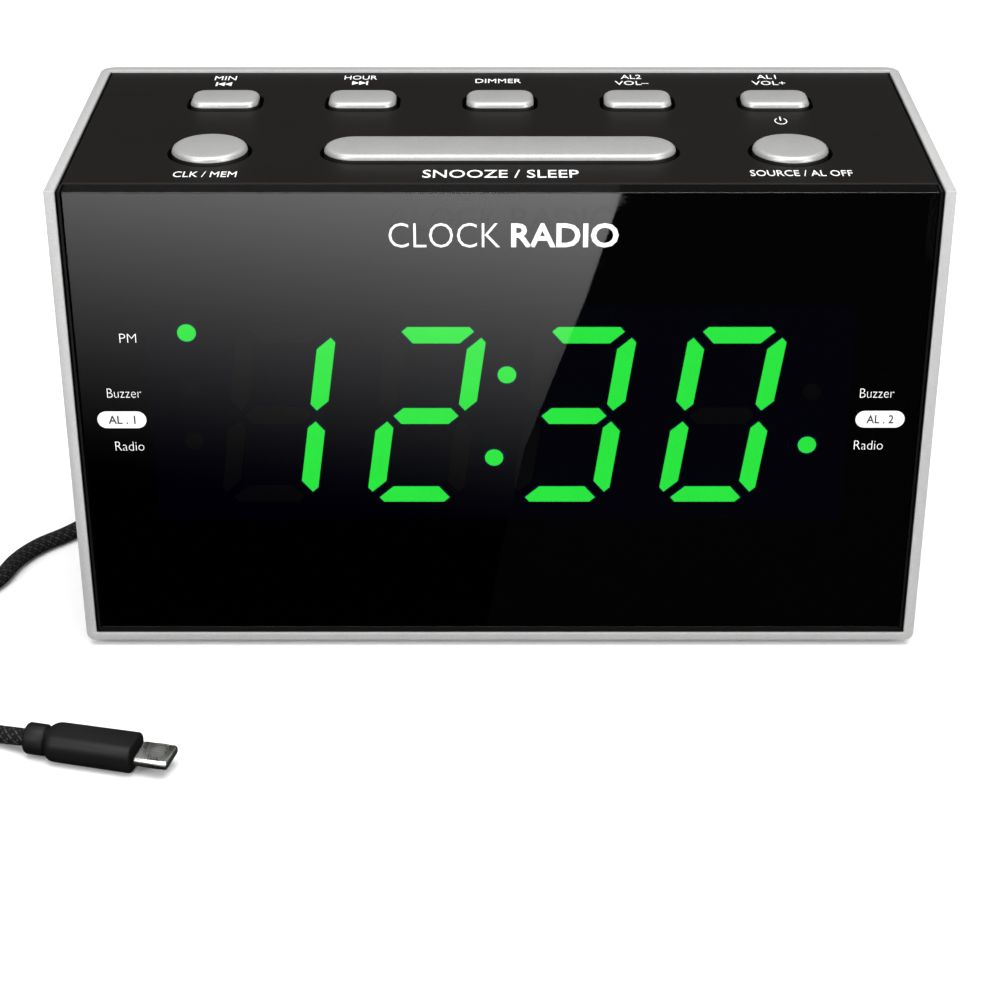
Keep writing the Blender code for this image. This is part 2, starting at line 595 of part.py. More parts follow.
def top_panel():
    """The black panel: key holes, two screw blocks at the back and two standoffs for the key board."""
    bm = bmesh.new()
    edges = add_box(bm, (-BEZEL_X, BEZEL_FRONT_Y + SEAM, PANEL_UNDER_Z), (BEZEL_X, INNER_BACK_Y - FIT, PANEL_Z))
    round_edges(bm, edges_at(edges, 2, PANEL_Z), PANEL_EDGE, 1)
    thing = mesh_object("top_panel", bm, BLACK)

    bm = bmesh.new()
    for side in (-1, 1):
        x = side * REAR_SCREW_X
        add_box(
            bm, (x - PAD_RADIUS, REAR_PAD_Y - FIT - PANEL_BLOCK_DEPTH, REAR_SCREW_Z - PAD_RADIUS),
            (x + PAD_RADIUS, REAR_PAD_Y - FIT, PANEL_UNDER_Z + OVERLAP),
        )
        standoff = PANEL_UNDER_Z - KEY_BOARD_Z - FIT + OVERLAP
        add_rod(bm, (side * KEY_SCREW_X, 0.0, KEY_BOARD_Z + FIT), standoff, STANDOFF_RADIUS)
    combine(thing, mesh_object("top_panel_mouldings", bm), "UNION")

    bm = bmesh.new()
    for side in (-1, 1):
        rear = (side * REAR_SCREW_X, REAR_PAD_Y - PANEL_HOLE_DEPTH, REAR_SCREW_Z)
        add_rod(bm, rear, SCREW_ROOM, SCREW_HOLE, "Y", 16)
        depth = PANEL_UNDER_Z - KEY_BOARD_Z - FIT
        add_rod(bm, (side * KEY_SCREW_X, 0.0, KEY_BOARD_Z + FIT - CUT), depth, SCREW_HOLE, segments=16)
    combine(thing, mesh_object("top_panel_screw_holes", bm), "DIFFERENCE")

    for name, place, size, corner in KEYS:
        bm = bmesh.new()
        hole = (size[0] + 2 * KEY_GAP, size[1] + 2 * KEY_GAP)
        add_slab(bm, hole, PANEL_UNDER_Z - CUT, PANEL_Z + CUT, corner + KEY_GAP, key_steps(size))
        combine(thing, mesh_object(f"{name}_hole", bm, place=(*place, 0.0)), "DIFFERENCE")
    smooth(thing)


def key_steps(size):
    """How many facets a key's corner gets: more on a round end than on a small corner."""
    return 5 if size == SMALL_KEY else 10


def keys():
    """The eight keys, each with a flange under the panel and the plunger of the switch that it works."""
    for name, place, size, corner in KEYS:
        bm = bmesh.new()
        flange_top = FLANGE_TOP_Z - PANEL_Z
        flange_low = FLANGE_LOW_Z - PANEL_Z
        add_slab(bm, size, flange_top - OVERLAP, KEY_PROUD, corner, key_steps(size), KEY_FILLET, KEY_FILLET_STEPS)
        origin = (*place, PANEL_Z)
        key = mesh_object(f"{name}_key", bm, SILVER, origin)
        bm = bmesh.new()
        wide = (size[0] + 2 * KEY_FLANGE, size[1] + 2 * KEY_FLANGE)
        add_slab(bm, wide, flange_low, flange_top, corner + KEY_FLANGE, key_steps(size))
        combine(key, mesh_object(f"{name}_flange", bm, place=origin), "UNION")
        smooth(key, 50.0)
        bm = bmesh.new()
        add_rod(bm, (0.0, 0.0, -PLUNGER_LENGTH), PLUNGER_LENGTH, PLUNGER_RADIUS, segments=16)
        plunger = mesh_object(f"{name}_plunger", bm, DARK, (0.0, 0.0, PLUNGER_TOP_Z - PANEL_Z), parent=key)
        smooth(plunger)


def key_board():
    """The board under the panel, with eight switch housings bored for their plungers."""
    bm = bmesh.new()
    half_x, half_y = KEY_BOARD_SIZE[0] / 2, KEY_BOARD_SIZE[1] / 2
    add_box(bm, (-half_x, -half_y, KEY_BOARD_LOW_Z), (half_x, half_y, KEY_BOARD_Z))
    thing = mesh_object("key_board", bm, BOARD_GREEN)
    housings = bmesh.new()
    bores = bmesh.new()
    half = SWITCH_SIZE / 2
    bore_floor = PLUNGER_TOP_Z - PLUNGER_LENGTH - KEY_TRAVEL - FIT
    for _, (x, y), _, _ in KEYS:
        add_box(
            housings, (x - half, y - half, KEY_BOARD_Z - OVERLAP), (x + half, y + half, KEY_BOARD_Z + SWITCH_HEIGHT)
        )
        add_rod(bores, (x, y, bore_floor), KEY_BOARD_DROP, PLUNGER_RADIUS + FIT, segments=16)
    for side in (-1, 1):
        add_rod(bores, (side * KEY_SCREW_X, 0.0, KEY_BOARD_LOW_Z - CUT), SCREW_ROOM, SCREW_HOLE, segments=16)
    combine(thing, mesh_object("switch_housings", housings), "UNION")
    combine(thing, mesh_object("key_board_bores", bores), "DIFFERENCE")


def display_lens():
    """The smoked front lens, a thick clear block with a fine chamfer round its face."""
    bm = bmesh.new()
    low_z = BEZEL_LOW_Z + BEZEL_RIM + FIT
    half_x = BEZEL_X - BEZEL_RIM - FIT
    edges = add_box(bm, (-half_x, LENS_FRONT_Y, low_z), (half_x, LENS_BACK_Y, PANEL_Z))
    round_edges(bm, edges_at(edges, 1, LENS_FRONT_Y), LENS_EDGE, 2)
    mesh_object("display_lens", bm, BLACK)


def front_bezel():
    """The black frame behind the lens, with a thin rim round it, screw blocks and board posts."""
    bm = bmesh.new()
    add_box(bm, (-BEZEL_X, BEZEL_FRONT_Y, BEZEL_LOW_Z), (BEZEL_X, BEZEL_BACK_Y, PANEL_UNDER_Z - FIT))
    thing = mesh_object("front_bezel", bm, BLACK)

    bm = bmesh.new()
    rim_back = BEZEL_FRONT_Y + OVERLAP
    inner_x = BEZEL_X - BEZEL_RIM
    for side in (-1, 1):
        low_x, high_x = sorted((side * inner_x, side * BEZEL_X))
        add_box(bm, (low_x, LENS_FRONT_Y + FIT, BEZEL_LOW_Z), (high_x, rim_back, PANEL_Z))
    combine(thing, mesh_object("bezel_side_rims", bm), "UNION")

    bm = bmesh.new()
    low = BEZEL_LOW_Z
    add_box(bm, (-BEZEL_X + FIT, LENS_FRONT_Y + FIT, low), (BEZEL_X - FIT, rim_back, low + BEZEL_RIM))
    for side in (-1, 1):
        x = side * FRONT_SCREW_X
        add_box(
            bm, (x - PAD_RADIUS, BEZEL_BACK_Y - OVERLAP, FRONT_PAD_Z + FIT),
            (x + PAD_RADIUS, FRONT_SCREW_Y + PAD_RADIUS, FRONT_PAD_Z + FIT + BEZEL_BLOCK_HEIGHT),
        )
        for level in (-1, 1):
            post_z = DIGITS_Z + level * (DISPLAY_BOARD_SIZE[1] / 2 - POST_INSET[1])
            length = DISPLAY_BOARD_Y - FIT - BEZEL_BACK_Y + OVERLAP
            post_x = side * (DISPLAY_BOARD_SIZE[0] / 2 - POST_INSET[0])
            add_rod(bm, (post_x, BEZEL_BACK_Y - OVERLAP, post_z), length, POST_RADIUS, "Y", 16)
    combine(thing, mesh_object("bezel_mouldings", bm), "UNION")

    bm = bmesh.new()
    half_x, half_z = REFLECTOR_SIZE[0] / 2 + FIT, REFLECTOR_SIZE[1] / 2 + FIT
    add_box(bm, (-half_x, BEZEL_FRONT_Y - CUT, DIGITS_Z - half_z), (half_x, BEZEL_BACK_Y + CUT, DIGITS_Z + half_z))
    add_box(bm, (-WIDTH, LENS_BACK_Y, PANEL_UNDER_Z - FIT), (WIDTH, 0.0, RIM_Z + CUT))
    for side in (-1, 1):
        start = (side * FRONT_SCREW_X, FRONT_SCREW_Y, FRONT_PAD_Z)
        add_rod(bm, start, BEZEL_HOLE_DEPTH, SCREW_HOLE, segments=16)
    combine(thing, mesh_object("bezel_openings", bm), "DIFFERENCE")


def display_stack():
    """The reflector with its slots, the light guide that fills them and the board behind."""
    half_x, half_z = REFLECTOR_SIZE[0] / 2, REFLECTOR_SIZE[1] / 2
    centre = (0.0, 0.0, DIGITS_Z)
    bm = bmesh.new()
    add_box(bm, (-half_x, BEZEL_FRONT_Y, -half_z), (half_x, REFLECTOR_BACK_Y, half_z))
    reflector = mesh_object("display_reflector", bm, DARK, centre)
    bm = bmesh.new()
    inner_x, inner_z = half_x - REFLECTOR_WALL, half_z - REFLECTOR_WALL
    floor_y = BEZEL_FRONT_Y + REFLECTOR_FRONT
    add_box(bm, (-inner_x, floor_y, -inner_z), (inner_x, REFLECTOR_BACK_Y + CUT, inner_z))
    combine(reflector, mesh_object("reflector_hollow", bm, place=centre), "DIFFERENCE")
    bm = bmesh.new()
    add_display_windows(bm, BEZEL_FRONT_Y - CUT, floor_y + CUT, FIT)
    combine(reflector, mesh_object("reflector_slots", bm, place=centre), "DIFFERENCE")

    bm = bmesh.new()
    guide_x, guide_z = inner_x - 2 * FIT, inner_z - 2 * FIT
    add_box(bm, (-guide_x, GUIDE_FRONT_Y, -guide_z), (guide_x, GUIDE_FRONT_Y + GUIDE_PLATE, guide_z))
    guide = mesh_object("segment_light_guide", bm, ((0.55, 0.62, 0.55), 0.4, 0.0), centre)
    bm = bmesh.new()
    add_display_windows(bm, BEZEL_FRONT_Y + WINDOW_SINK, GUIDE_FRONT_Y + OVERLAP, 0.0)
    combine(guide, mesh_object("guide_segments", bm, place=centre), "UNION")

    bm = bmesh.new()
    board_x, board_z = DISPLAY_BOARD_SIZE[0] / 2, DISPLAY_BOARD_SIZE[1] / 2
    add_box(bm, (-board_x, DISPLAY_BOARD_Y, -board_z), (board_x, DISPLAY_BOARD_Y + BOARD_THICKNESS, board_z))
    mesh_object("display_board", bm, BOARD_GREEN, centre)


def screw(name, place, turn, shared, length):
    """A cross-head screw with its head up the local Z axis and its head's underside at the origin."""
    if shared is None:
        profile = [
            (0.0, HEAD_HEIGHT), (HEAD_RADIUS * 0.75, HEAD_HEIGHT), (HEAD_RADIUS, HEAD_HEIGHT * 0.4),
            (HEAD_RADIUS, 0.0), (SHANK_RADIUS, 0.0), (SHANK_RADIUS, SCREW_POINT - length), (0.0, -length),
        ]
        thing = turned(name, profile, STEEL, place, turn, steps=20)
        bm = bmesh.new()
        arm, half = HEAD_RADIUS * 0.6, SCREW_SLOT_HALF
        add_box(bm, (-arm, -half, HEAD_HEIGHT * 0.4), (arm, half, HEAD_HEIGHT + CUT))
        cutter = mesh_object(f"{name}_slot", bm, place=place, turn=turn)
        combine(thing, cutter, "DIFFERENCE")
        bm = bmesh.new()
        add_box(bm, (-half, -arm, HEAD_HEIGHT * 0.4), (half, arm, HEAD_HEIGHT + CUT))
        combine(thing, mesh_object(f"{name}_cross", bm, place=place, turn=turn), "DIFFERENCE")
        bpy.context.view_layer.update()
        solid = bpy.data.meshes.new_from_object(thing.evaluated_get(bpy.context.evaluated_depsgraph_get()))
        thing.modifiers.clear()
        thing.data = solid
        return solid
    place_object(name, shared, STEEL, place, turn)
    return shared


def screws():
    """Two screws through the back, two through the floor and two that hold the key board."""
    to_back = (-math.pi / 2, 0.0, 0.0)
    upside_down = (math.pi, 0.0, 0.0)
    shared = None
    for side, label in ((-1, "left"), (1, "right")):
        rear = (side * REAR_SCREW_X, REAR_SEAT_Y + FIT, REAR_SCREW_Z)
        shared = screw(f"rear_screw_{label}", rear, to_back, shared, SCREW_LENGTH)
        front = (side * FRONT_SCREW_X, FRONT_SCREW_Y, FRONT_SEAT_Z - FIT)
        screw(f"bottom_screw_{label}", front, upside_down, shared, SCREW_LENGTH)
    small = None
    for side, label in ((-1, "left"), (1, "right")):
        under = (side * KEY_SCREW_X, 0.0, KEY_BOARD_LOW_Z - FIT)
        small = screw(f"key_board_screw_{label}", under, upside_down, small, KEY_SCREW_LENGTH)


def feet():
    """Four rubber feet, each set in its own shallow recess."""
    top = FOOT_HEIGHT + FOOT_RECESS - FIT
    profile = [
        (0.0, top), (FOOT_RADIUS, top), (FOOT_RADIUS, FOOT_EDGE), (FOOT_RADIUS - FOOT_EDGE, 0.0), (0.0, 0.0),
    ]
    for end, depth_label in ((-1, "front"), (1, "rear")):
        for side, label in ((-1, "left"), (1, "right")):
            turned(f"foot_{depth_label}_{label}", profile, DARK, (*foot_place(side, end), 0.0), steps=28)


def main_board():
    """The main board on its four staked posts, with the parts that stand on it."""
    bm = bmesh.new()
    low = (MAIN_BOARD_X[0], MAIN_BOARD_FRONT_Y, MAIN_BOARD_Z)
    add_box(bm, low, (MAIN_BOARD_X[1], MAIN_BOARD_BACK_Y, MAIN_BOARD_TOP_Z))
    board = mesh_object("main_board", bm, BOARD_GREEN)
    bm = bmesh.new()
    for x, y in STAKES:
        add_rod(bm, (x, y, MAIN_BOARD_Z - CUT), BOARD_THICKNESS + 2 * CUT, STAKE_RADIUS + FIT, segments=12)
    combine(board, mesh_object("main_board_holes", bm), "DIFFERENCE")

    boxes = [
        ("tuner_shield", (-0.046, -0.004), (0.020, 0.015, 0.0042), STEEL),
        ("controller_chip", (-0.028, 0.004), (0.010, 0.010, 0.0014), DARK),
    ]
    for name, (x, y), size, look in boxes:
        bm = bmesh.new()
        add_slab(bm, size[:2], 0.0, size[2], 0.0006, 1, top_edge=0.0003)
        mesh_object(name, bm, look, (x, y, PARTS_Z))
    can = [
        (0.0, 0.0115), (0.0034, 0.0115), (0.004, 0.011), (0.004, 0.0024), (0.0037, 0.002), (0.004, 0.0016),
        (0.004, 0.0), (0.0, 0.0),
    ]
    turned("filter_capacitor", can, DARK, (-0.010, 0.006, PARTS_Z), steps=24)


def ports():
    """The charging port, the supply jack and the grommet of the wire aerial, all flush with the back."""
    half_x, half_z = USB_OUTER[0] / 2, USB_OUTER[2] / 2
    bm = bmesh.new()
    add_box(bm, (-half_x, -USB_OUTER[1], -half_z), (half_x, 0.0, half_z))
    place = (USB_X, PORT_FACE_Y, USB_Z)
    port = mesh_object("usb_port", bm, STEEL, place)
    bm = bmesh.new()
    add_box(
        bm, (-half_x + USB_SHELL, -USB_CAVITY_DEPTH, -half_z + USB_SHELL),
        (half_x - USB_SHELL, CUT, half_z - USB_SHELL),
    )
    combine(port, mesh_object("usb_port_hollow", bm, place=place), "DIFFERENCE")
    bm = bmesh.new()
    add_box(
        bm, (-USB_TONGUE_HALF, -USB_CAVITY_DEPTH - OVERLAP, USB_TONGUE_Z[0]),
        (USB_TONGUE_HALF, -USB_TONGUE_SET_BACK, USB_TONGUE_Z[1]),
    )
    combine(port, mesh_object("usb_port_tongue", bm, place=place), "UNION")

    place = (JACK_X, 0.0, JACK_Z)
    half_x, half_z = JACK_SIZE[0] / 2, JACK_SIZE[2] / 2
    back = INNER_BACK_Y - FIT
    bm = bmesh.new()
    add_box(bm, (-half_x, back - JACK_SIZE[1], -half_z), (half_x, back, half_z))
    jack = mesh_object("dc_jack", bm, DARK, place)
    bm = bmesh.new()
    add_rod(bm, (0.0, back - OVERLAP, 0.0), PORT_FACE_Y - back + OVERLAP, JACK_NOSE_RADIUS, "Y", 32)
    combine(jack, mesh_object("jack_nose", bm, place=place), "UNION")
    bm = bmesh.new()
    bore_y = back - JACK_BORE_DEPTH
    add_rod(bm, (0.0, bore_y, 0.0), BACK_Y + CUT - bore_y, JACK_BORE_RADIUS, "Y", 24)
    combine(jack, mesh_object("jack_bore", bm, place=place), "DIFFERENCE")
    bm = bmesh.new()
    add_rod(bm, (0.0, bore_y - OVERLAP, 0.0), PORT_FACE_Y - CUT - bore_y, JACK_PIN_RADIUS, "Y", 12)
    combine(jack, mesh_object("jack_pin", bm, place=place), "UNION")

    flange_top = -BACK_WALL - FIT
    flange_radius = GROMMET_RADIUS + GROMMET_FLANGE[0]
    flange_low = flange_top - GROMMET_FLANGE[1]
    profile = [
        (GROMMET_RADIUS, 0.0), (GROMMET_RADIUS, flange_top), (flange_radius, flange_top), (flange_radius, flange_low),
        (GROMMET_BORE, flange_low), (GROMMET_BORE, 0.0),
    ]
    turned(
        "aerial_grommet", profile, DARK, (GROMMET_X, PORT_FACE_Y, GROMMET_Z), (-math.pi / 2, 0.0, 0.0), closed=True
    )


def speaker():
    """The loudspeaker facing back through the grille: basket, cone and magnet."""
    to_back = (-math.pi / 2, 0.0, 0.0)
    place = (SPEAKER_X, INNER_BACK_Y - FIT, SPEAKER_Z)
    edge = SPEAKER_RADIUS
    basket = [
        (edge, 0.0), (edge, -0.001), (edge - 0.0021, -0.0012), (edge - 0.0034, -0.003), (0.0105, -0.009),
        (0.01, -0.01), (0.0075, -0.01), (0.0075, -0.0092), (0.0094, -0.0088), (edge - 0.0044, -0.0026),
        (edge - 0.0032, -0.0008), (edge - 0.0024, -0.0008), (edge - 0.0024, 0.0),
    ]
    turned("speaker_frame", basket, STEEL, place, to_back, steps=40, closed=True)
    rim = edge - 0.0028
    cone = [
        (0.0, -0.0032), (0.0024, -0.0035), (0.0042, -0.0046), (0.0048, -0.0056), (rim - 0.003, -0.0017),
        (rim - 0.002, -0.001), (rim - 0.001, -0.0002), (rim, -0.0001), (rim, -0.0005), (rim - 0.0008, -0.0006),
        (rim - 0.0019, -0.0015), (rim - 0.0027, -0.0021), (0.0054, -0.0062), (0.0052, -0.0093), (0.0045, -0.0093),
        (0.0044, -0.006), (0.0039, -0.005), (0.0023, -0.004), (0.0, -0.0037),
    ]
    turned("speaker_cone", cone, DARK, place, to_back, steps=32)
    magnet = [
        (0.0, -0.0103), (0.0092, -0.0103), (0.0095, -0.0106), (0.0095, -0.016), (0.0092, -0.0163), (0.0, -0.0163),
    ]
    turned("speaker_magnet", magnet, STEEL, place, to_back, steps=32)


def battery_bay():
    """Two cells and their contacts in the bay, and the hinged door under them."""
    low_x = BAY_X - BAY_SIZE[0] / 2
    side_y = CELL_PITCH / 2
    body = CELL_LENGTH - 0.001
    cell = [
        (0.0, CELL_LENGTH), (0.0019, CELL_LENGTH), (0.0019, body), (CELL_RADIUS - 0.0003, body),
        (CELL_RADIUS, body - 0.0003), (CELL_RADIUS, 0.0003), (CELL_RADIUS - 0.0003, 0.0), (0.0, 0.0),
    ]
    slack = (BAY_SIZE[0] - CELL_LENGTH) / 2
    look = ((0.06, 0.06, 0.065), 0.35, 0.3)
    for number, y, start, turn in ((1, -side_y, slack, math.pi / 2), (2, side_y, BAY_SIZE[0] - slack, -math.pi / 2)):
        turned(f"battery_cell_{number}", cell, look, (low_x + start, y, CELL_Z), (0.0, turn, 0.0), steps=28)

    for label, side in (("left", 1), ("right", -1)):
        bm = bmesh.new()
        half_y = BAY_SIZE[1] / 2 - 2 * FIT
        add_box(bm, (FIT, -half_y, -CONTACT_HALF_HEIGHT), (FIT + CONTACT_PLATE, half_y, CONTACT_HALF_HEIGHT))
        place = (BAY_X - side * BAY_SIZE[0] / 2, 0.0, CELL_Z)
        turn = (0.0, 0.0, 0.0 if side > 0 else math.pi)
        contact = mesh_object(f"battery_contact_{label}", bm, GOLD, place, turn)
        bm = bmesh.new()
        base = FIT + CONTACT_PLATE / 2
        add_rod(bm, (base, -side_y, 0.0), slack - FIT - base, 0.0032, "X", 16, end_radius=0.0018)
        add_rod(bm, (base, side_y, 0.0), slack - FIT - base - 0.0008, 0.0024, "X", 16, end_radius=0.0012)
        combine(contact, mesh_object(f"battery_contact_{label}_springs", bm, place=place, turn=turn), "UNION")

    bm = bmesh.new()
    half = DOOR_THICKNESS / 2
    front = half - DOOR_SIZE[1]
    edges = add_box(bm, (-DOOR_SIZE[0] / 2, front, -half), (DOOR_SIZE[0] / 2, half, half))
    round_edges(bm, edges_at(edges_along(edges, 0), 1, half), half * 0.98, 3)
    door = mesh_object("battery_door", bm, BLACK, DOOR_HINGE)
    bm = bmesh.new()
    notch_x, notch_y, notch_z = DOOR_NOTCH
    add_box(bm, (-notch_x / 2, front - CUT, -half - CUT), (notch_x / 2, front + notch_y, -half + notch_z))
    combine(door, mesh_object("door_finger_notch", bm, place=DOOR_HINGE), "DIFFERENCE")


def ribbon(name, centre_x, width, path):
    """A flat cable that follows (y, z) points and is as wide as asked in X."""
    bm = bmesh.new()
    row = [bm.verts.new((-width / 2, y, z)) for y, z in path]
    edges = [bm.edges.new(pair) for pair in zip(row, row[1:])]
    made = bmesh.ops.extrude_edge_only(bm, edges=edges)["geom"]
    bmesh.ops.translate(bm, verts=[v for v in made if isinstance(v, bmesh.types.BMVert)], vec=(width, 0.0, 0.0))
    thing = mesh_object(name, bm, ((0.45, 0.45, 0.47), 0.5, 0.0), (centre_x, 0.0, 0.0))
    sheet = thing.modifiers.new("thickness", "SOLIDIFY")
    sheet.thickness = RIBBON_THICKNESS
    sheet.offset = 0.0


def sagging_path(start, end, bulge, steps=8):
    """Points from start to end with ends that leave square to their boards and a soft bulge between."""
    points = []
    for step in range(steps + 1):
        share = step / steps
        ease = share * share * (3.0 - 2.0 * share)
        y = start[0] + (end[0] - start[0]) * ease + bulge * math.sin(math.pi * share)
        points.append((y, start[1] + (end[1] - start[1]) * share))
    return points


def ribbons():
    """The flat cables from the main board to the display board and to the key board."""
    low = PARTS_Z
    display_back = DISPLAY_BOARD_Y + BOARD_THICKNESS + 2 * FIT
    down = sagging_path((display_back + 0.0002, DIGITS_Z - 0.012), (-0.009, low), 0.002)
    ribbon("display_ribbon", -0.020, 0.012, down)
    ribbon("key_ribbon", -0.028, 0.008, sagging_path((0.010, KEY_BOARD_LOW_Z - FIT), (0.012, low), 0.004, 12))


def smooth_route(points, step):
    """Points a step apart along a smooth curve (Catmull-Rom) through a route's own points."""
    route = [Vector(point) for point in points]
    route = [2 * route[0] - route[1], *route, 2 * route[-1] - route[-2]]
    fine = []
    for a, b, c, d in zip(route, route[1:], route[2:], route[3:]):
        pieces = 8
        for number in range(pieces):
            t = number / pieces
            fine.append(
                0.5 * (2 * b + (c - a) * t + (2 * a - 5 * b + 4 * c - d) * t ** 2 + (3 * b - a - 3 * c + d) * t ** 3)
            )
    fine.append(route[-2])
    total = sum((b - a).length for a, b in zip(fine, fine[1:]))
    count = max(2, round(total / step))
    found = [fine[0]]
    walked = 0.0
    for a, b in zip(fine, fine[1:]):
        walked += (b - a).length
        if walked >= len(found) * total / count and len(found) < count:
            found.append(b)
    found.append(fine[-1])
    return found


def beside_case(point):
    """A point of the cord, moved out with the case's left side and with its back."""
    x, y, z = point
    left_share = min(1.0, max(0.0, (USB_X - x) / (USB_X + LAID_HALF_WIDTH)))
    back_share = min(1.0, max(0.0, y / LAID_HALF_DEPTH))
    wider, deeper = WIDTH / 2 - LAID_HALF_WIDTH, DEPTH / 2 - LAID_HALF_DEPTH
    return Vector((x - wider * left_share, y + deeper * back_share, z))


def cord_tube(name, points):
    """A free stretch of the cord, as a round tube with filled ends."""
    curve = bpy.data.curves.new(name, "CURVE")
    curve.dimensions = "3D"
    curve.bevel_depth = CORD_DIAMETER / 2
    curve.bevel_resolution = 2
    curve.use_fill_caps = True
    path = smooth_route(points, CORD_POINT_STEP)
    spline = curve.splines.new("POLY")
    spline.points.add(len(path) - 1)
    for place, point in zip(spline.points, path):
        place.co = (*point, 1.0)
    place_object(name, curve, DARK, (0.0, 0.0, 0.0))


def charging_cord():
    """The cord from its plug in the back to the connector at its far end, with its spare length coiled."""
    plug_front = BACK_Y + PLUG_STANDOFF
    place = (USB_X, plug_front, USB_Z)
    half_x, half_z = PLUG_BODY[0] / 2, PLUG_BODY[2] / 2
    bm = bmesh.new()
    edges = add_box(bm, (-half_x, 0.0, -half_z), (half_x, PLUG_BODY[1], half_z))
    round_edges(bm, edges, PLUG_EDGE, 3)
    plug = mesh_object("usb_plug", bm, DARK, place)
    bm = bmesh.new()
    boot_start = PLUG_BODY[1] - 2 * CUT
    add_rod(bm, (0.0, boot_start, 0.0), BOOT_LENGTH + 2 * CUT, BOOT_RADII[0], "Y", 24, end_radius=BOOT_RADII[1])
    combine(plug, mesh_object("plug_boot", bm, place=place), "UNION")
    smooth(plug)

    half_x, half_z = PLUG_SHELL[0] / 2, PLUG_SHELL[1] / 2
    length = PLUG_IN + PLUG_STANDOFF
    bm = bmesh.new()
    add_box(bm, (-half_x, -length, -half_z), (half_x, -FIT, half_z))
    shell = mesh_object("usb_plug_shell", bm, STEEL, place)
    bm = bmesh.new()
    add_box(
        bm, (-half_x + PLUG_SHELL_WALL, -length - CUT, -PLUG_TONGUE_TOP),
        (half_x - PLUG_SHELL_WALL, -CUT, half_z - PLUG_SHELL_WALL),
    )
    combine(shell, mesh_object("plug_shell_hollow", bm, place=place), "DIFFERENCE")

    boot_end_y = plug_front + PLUG_BODY[1] + BOOT_LENGTH
    cord_tube("charge_cord_near", [(USB_X, boot_end_y + CORD_GAP, USB_Z), *map(beside_case, CORD_ROUTE_NEAR)])
    heading = Vector((math.cos(CONNECTOR_HEADING), math.sin(CONNECTOR_HEADING), 0.0))
    far_end = beside_case(CONNECTOR_TAIL) - CORD_GAP * heading
    cord_tube("charge_cord_far", [*map(beside_case, CORD_ROUTE_FAR), far_end])
    coil()
    connector()


def coil():
    """The outer shape of the coiled length, pinched where its tie goes round it."""
    half = COIL_SECTION / 2
    place = beside_case((*COIL_CENTRE, 0.0))
    inner, outer = COIL_RADIUS - half, COIL_RADIUS + half
    corner = CORD_DIAMETER / 3
    ring = [
        (outer - corner, COIL_SECTION), (outer, COIL_SECTION - corner), (outer, corner), (outer - corner, 0.0),
        (inner + corner, 0.0), (inner, corner), (inner, COIL_SECTION - corner), (inner + corner, COIL_SECTION),
    ]
    thing = turned("charge_cord_coil", ring, DARK, place, steps=40, closed=True)
    tie_place = (place.x - COIL_RADIUS, place.y, half)
    pinch = half - TIE_THICKNESS - FIT
    bm = bmesh.new()
    wide = TIE_WIDTH / 2 + FIT
    add_box(bm, (-half - CUT, -wide, -half - CUT), (half + CUT, wide, half + CUT))
    groove = mesh_object("tie_groove", bm, place=tie_place)
    bm = bmesh.new()
    add_box(bm, (-pinch, -wide - CUT, -pinch), (pinch, wide + CUT, pinch))
    combine(groove, mesh_object("tie_groove_core", bm, place=tie_place), "DIFFERENCE")
    combine(thing, groove, "DIFFERENCE")
    bm = bmesh.new()
    add_box(bm, (-half, -TIE_WIDTH / 2, -half), (half, TIE_WIDTH / 2, half))
    tie = mesh_object("cord_tie", bm, DARK, tie_place)
    bm = bmesh.new()
    bore = half - TIE_THICKNESS
    add_box(bm, (-bore, -TIE_WIDTH, -bore), (bore, TIE_WIDTH, bore))
    combine(tie, mesh_object("cord_tie_bore", bm, place=tie_place), "DIFFERENCE")


def connector():
    """The small connector at the far end: a round collar, a flat body and a metal tip."""
    turn = (0.0, 0.0, CONNECTOR_HEADING)
    tail = beside_case(CONNECTOR_TAIL)
    length, width, height = CONNECTOR_BODY
    bm = bmesh.new()
    edges = add_box(bm, (COLLAR_LENGTH, -width / 2, -height / 2), (COLLAR_LENGTH + length, width / 2, height / 2))
    round_edges(bm, edges, CONNECTOR_EDGE, 3)
    body = mesh_object("charge_connector", bm, DARK, tail, turn)
    bm = bmesh.new()
    add_rod(bm, (0.0, 0.0, 0.0), COLLAR_LENGTH + 2 * CUT, COLLAR_RADIUS, "X", 24, end_radius=COLLAR_END_RADIUS)
    combine(body, mesh_object("connector_collar", bm, place=tail, turn=turn), "UNION")
    smooth(body)
    start = COLLAR_LENGTH + length + FIT
    tip_length, tip_width, tip_height = CONNECTOR_TIP
    bm = bmesh.new()
    edges = add_box(bm, (start, -tip_width / 2, -tip_height / 2), (start + tip_length, tip_width / 2, tip_height / 2))
    round_edges(bm, edges_along(edges, 0), CONNECTOR_TIP_EDGE, 2)
    mesh_object("connector_tip", bm, STEEL, tail, turn)


cabinet()
top_panel()
keys()
key_board()
display_lens()
front_bezel()
display_stack()
screws()
feet()
main_board()
ports()
speaker()
battery_bay()
ribbons()
charging_cord()
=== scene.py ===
"""Looks of a bedside digital clock radio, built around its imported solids.

Everything is in metres, in the solids' own frame: X to the right, Y to the back, Z up, with the
origin on the table under the middle of the case. Each sub-assembly is a class with the sizes that
it adds and the methods that build and dress it. Each finish is a frozen dataclass that makes one
material.
"""

import logging
import math
from collections.abc import Sequence
from dataclasses import dataclass
from enum import Enum

import bmesh
import bpy
from mathutils import Matrix, Vector


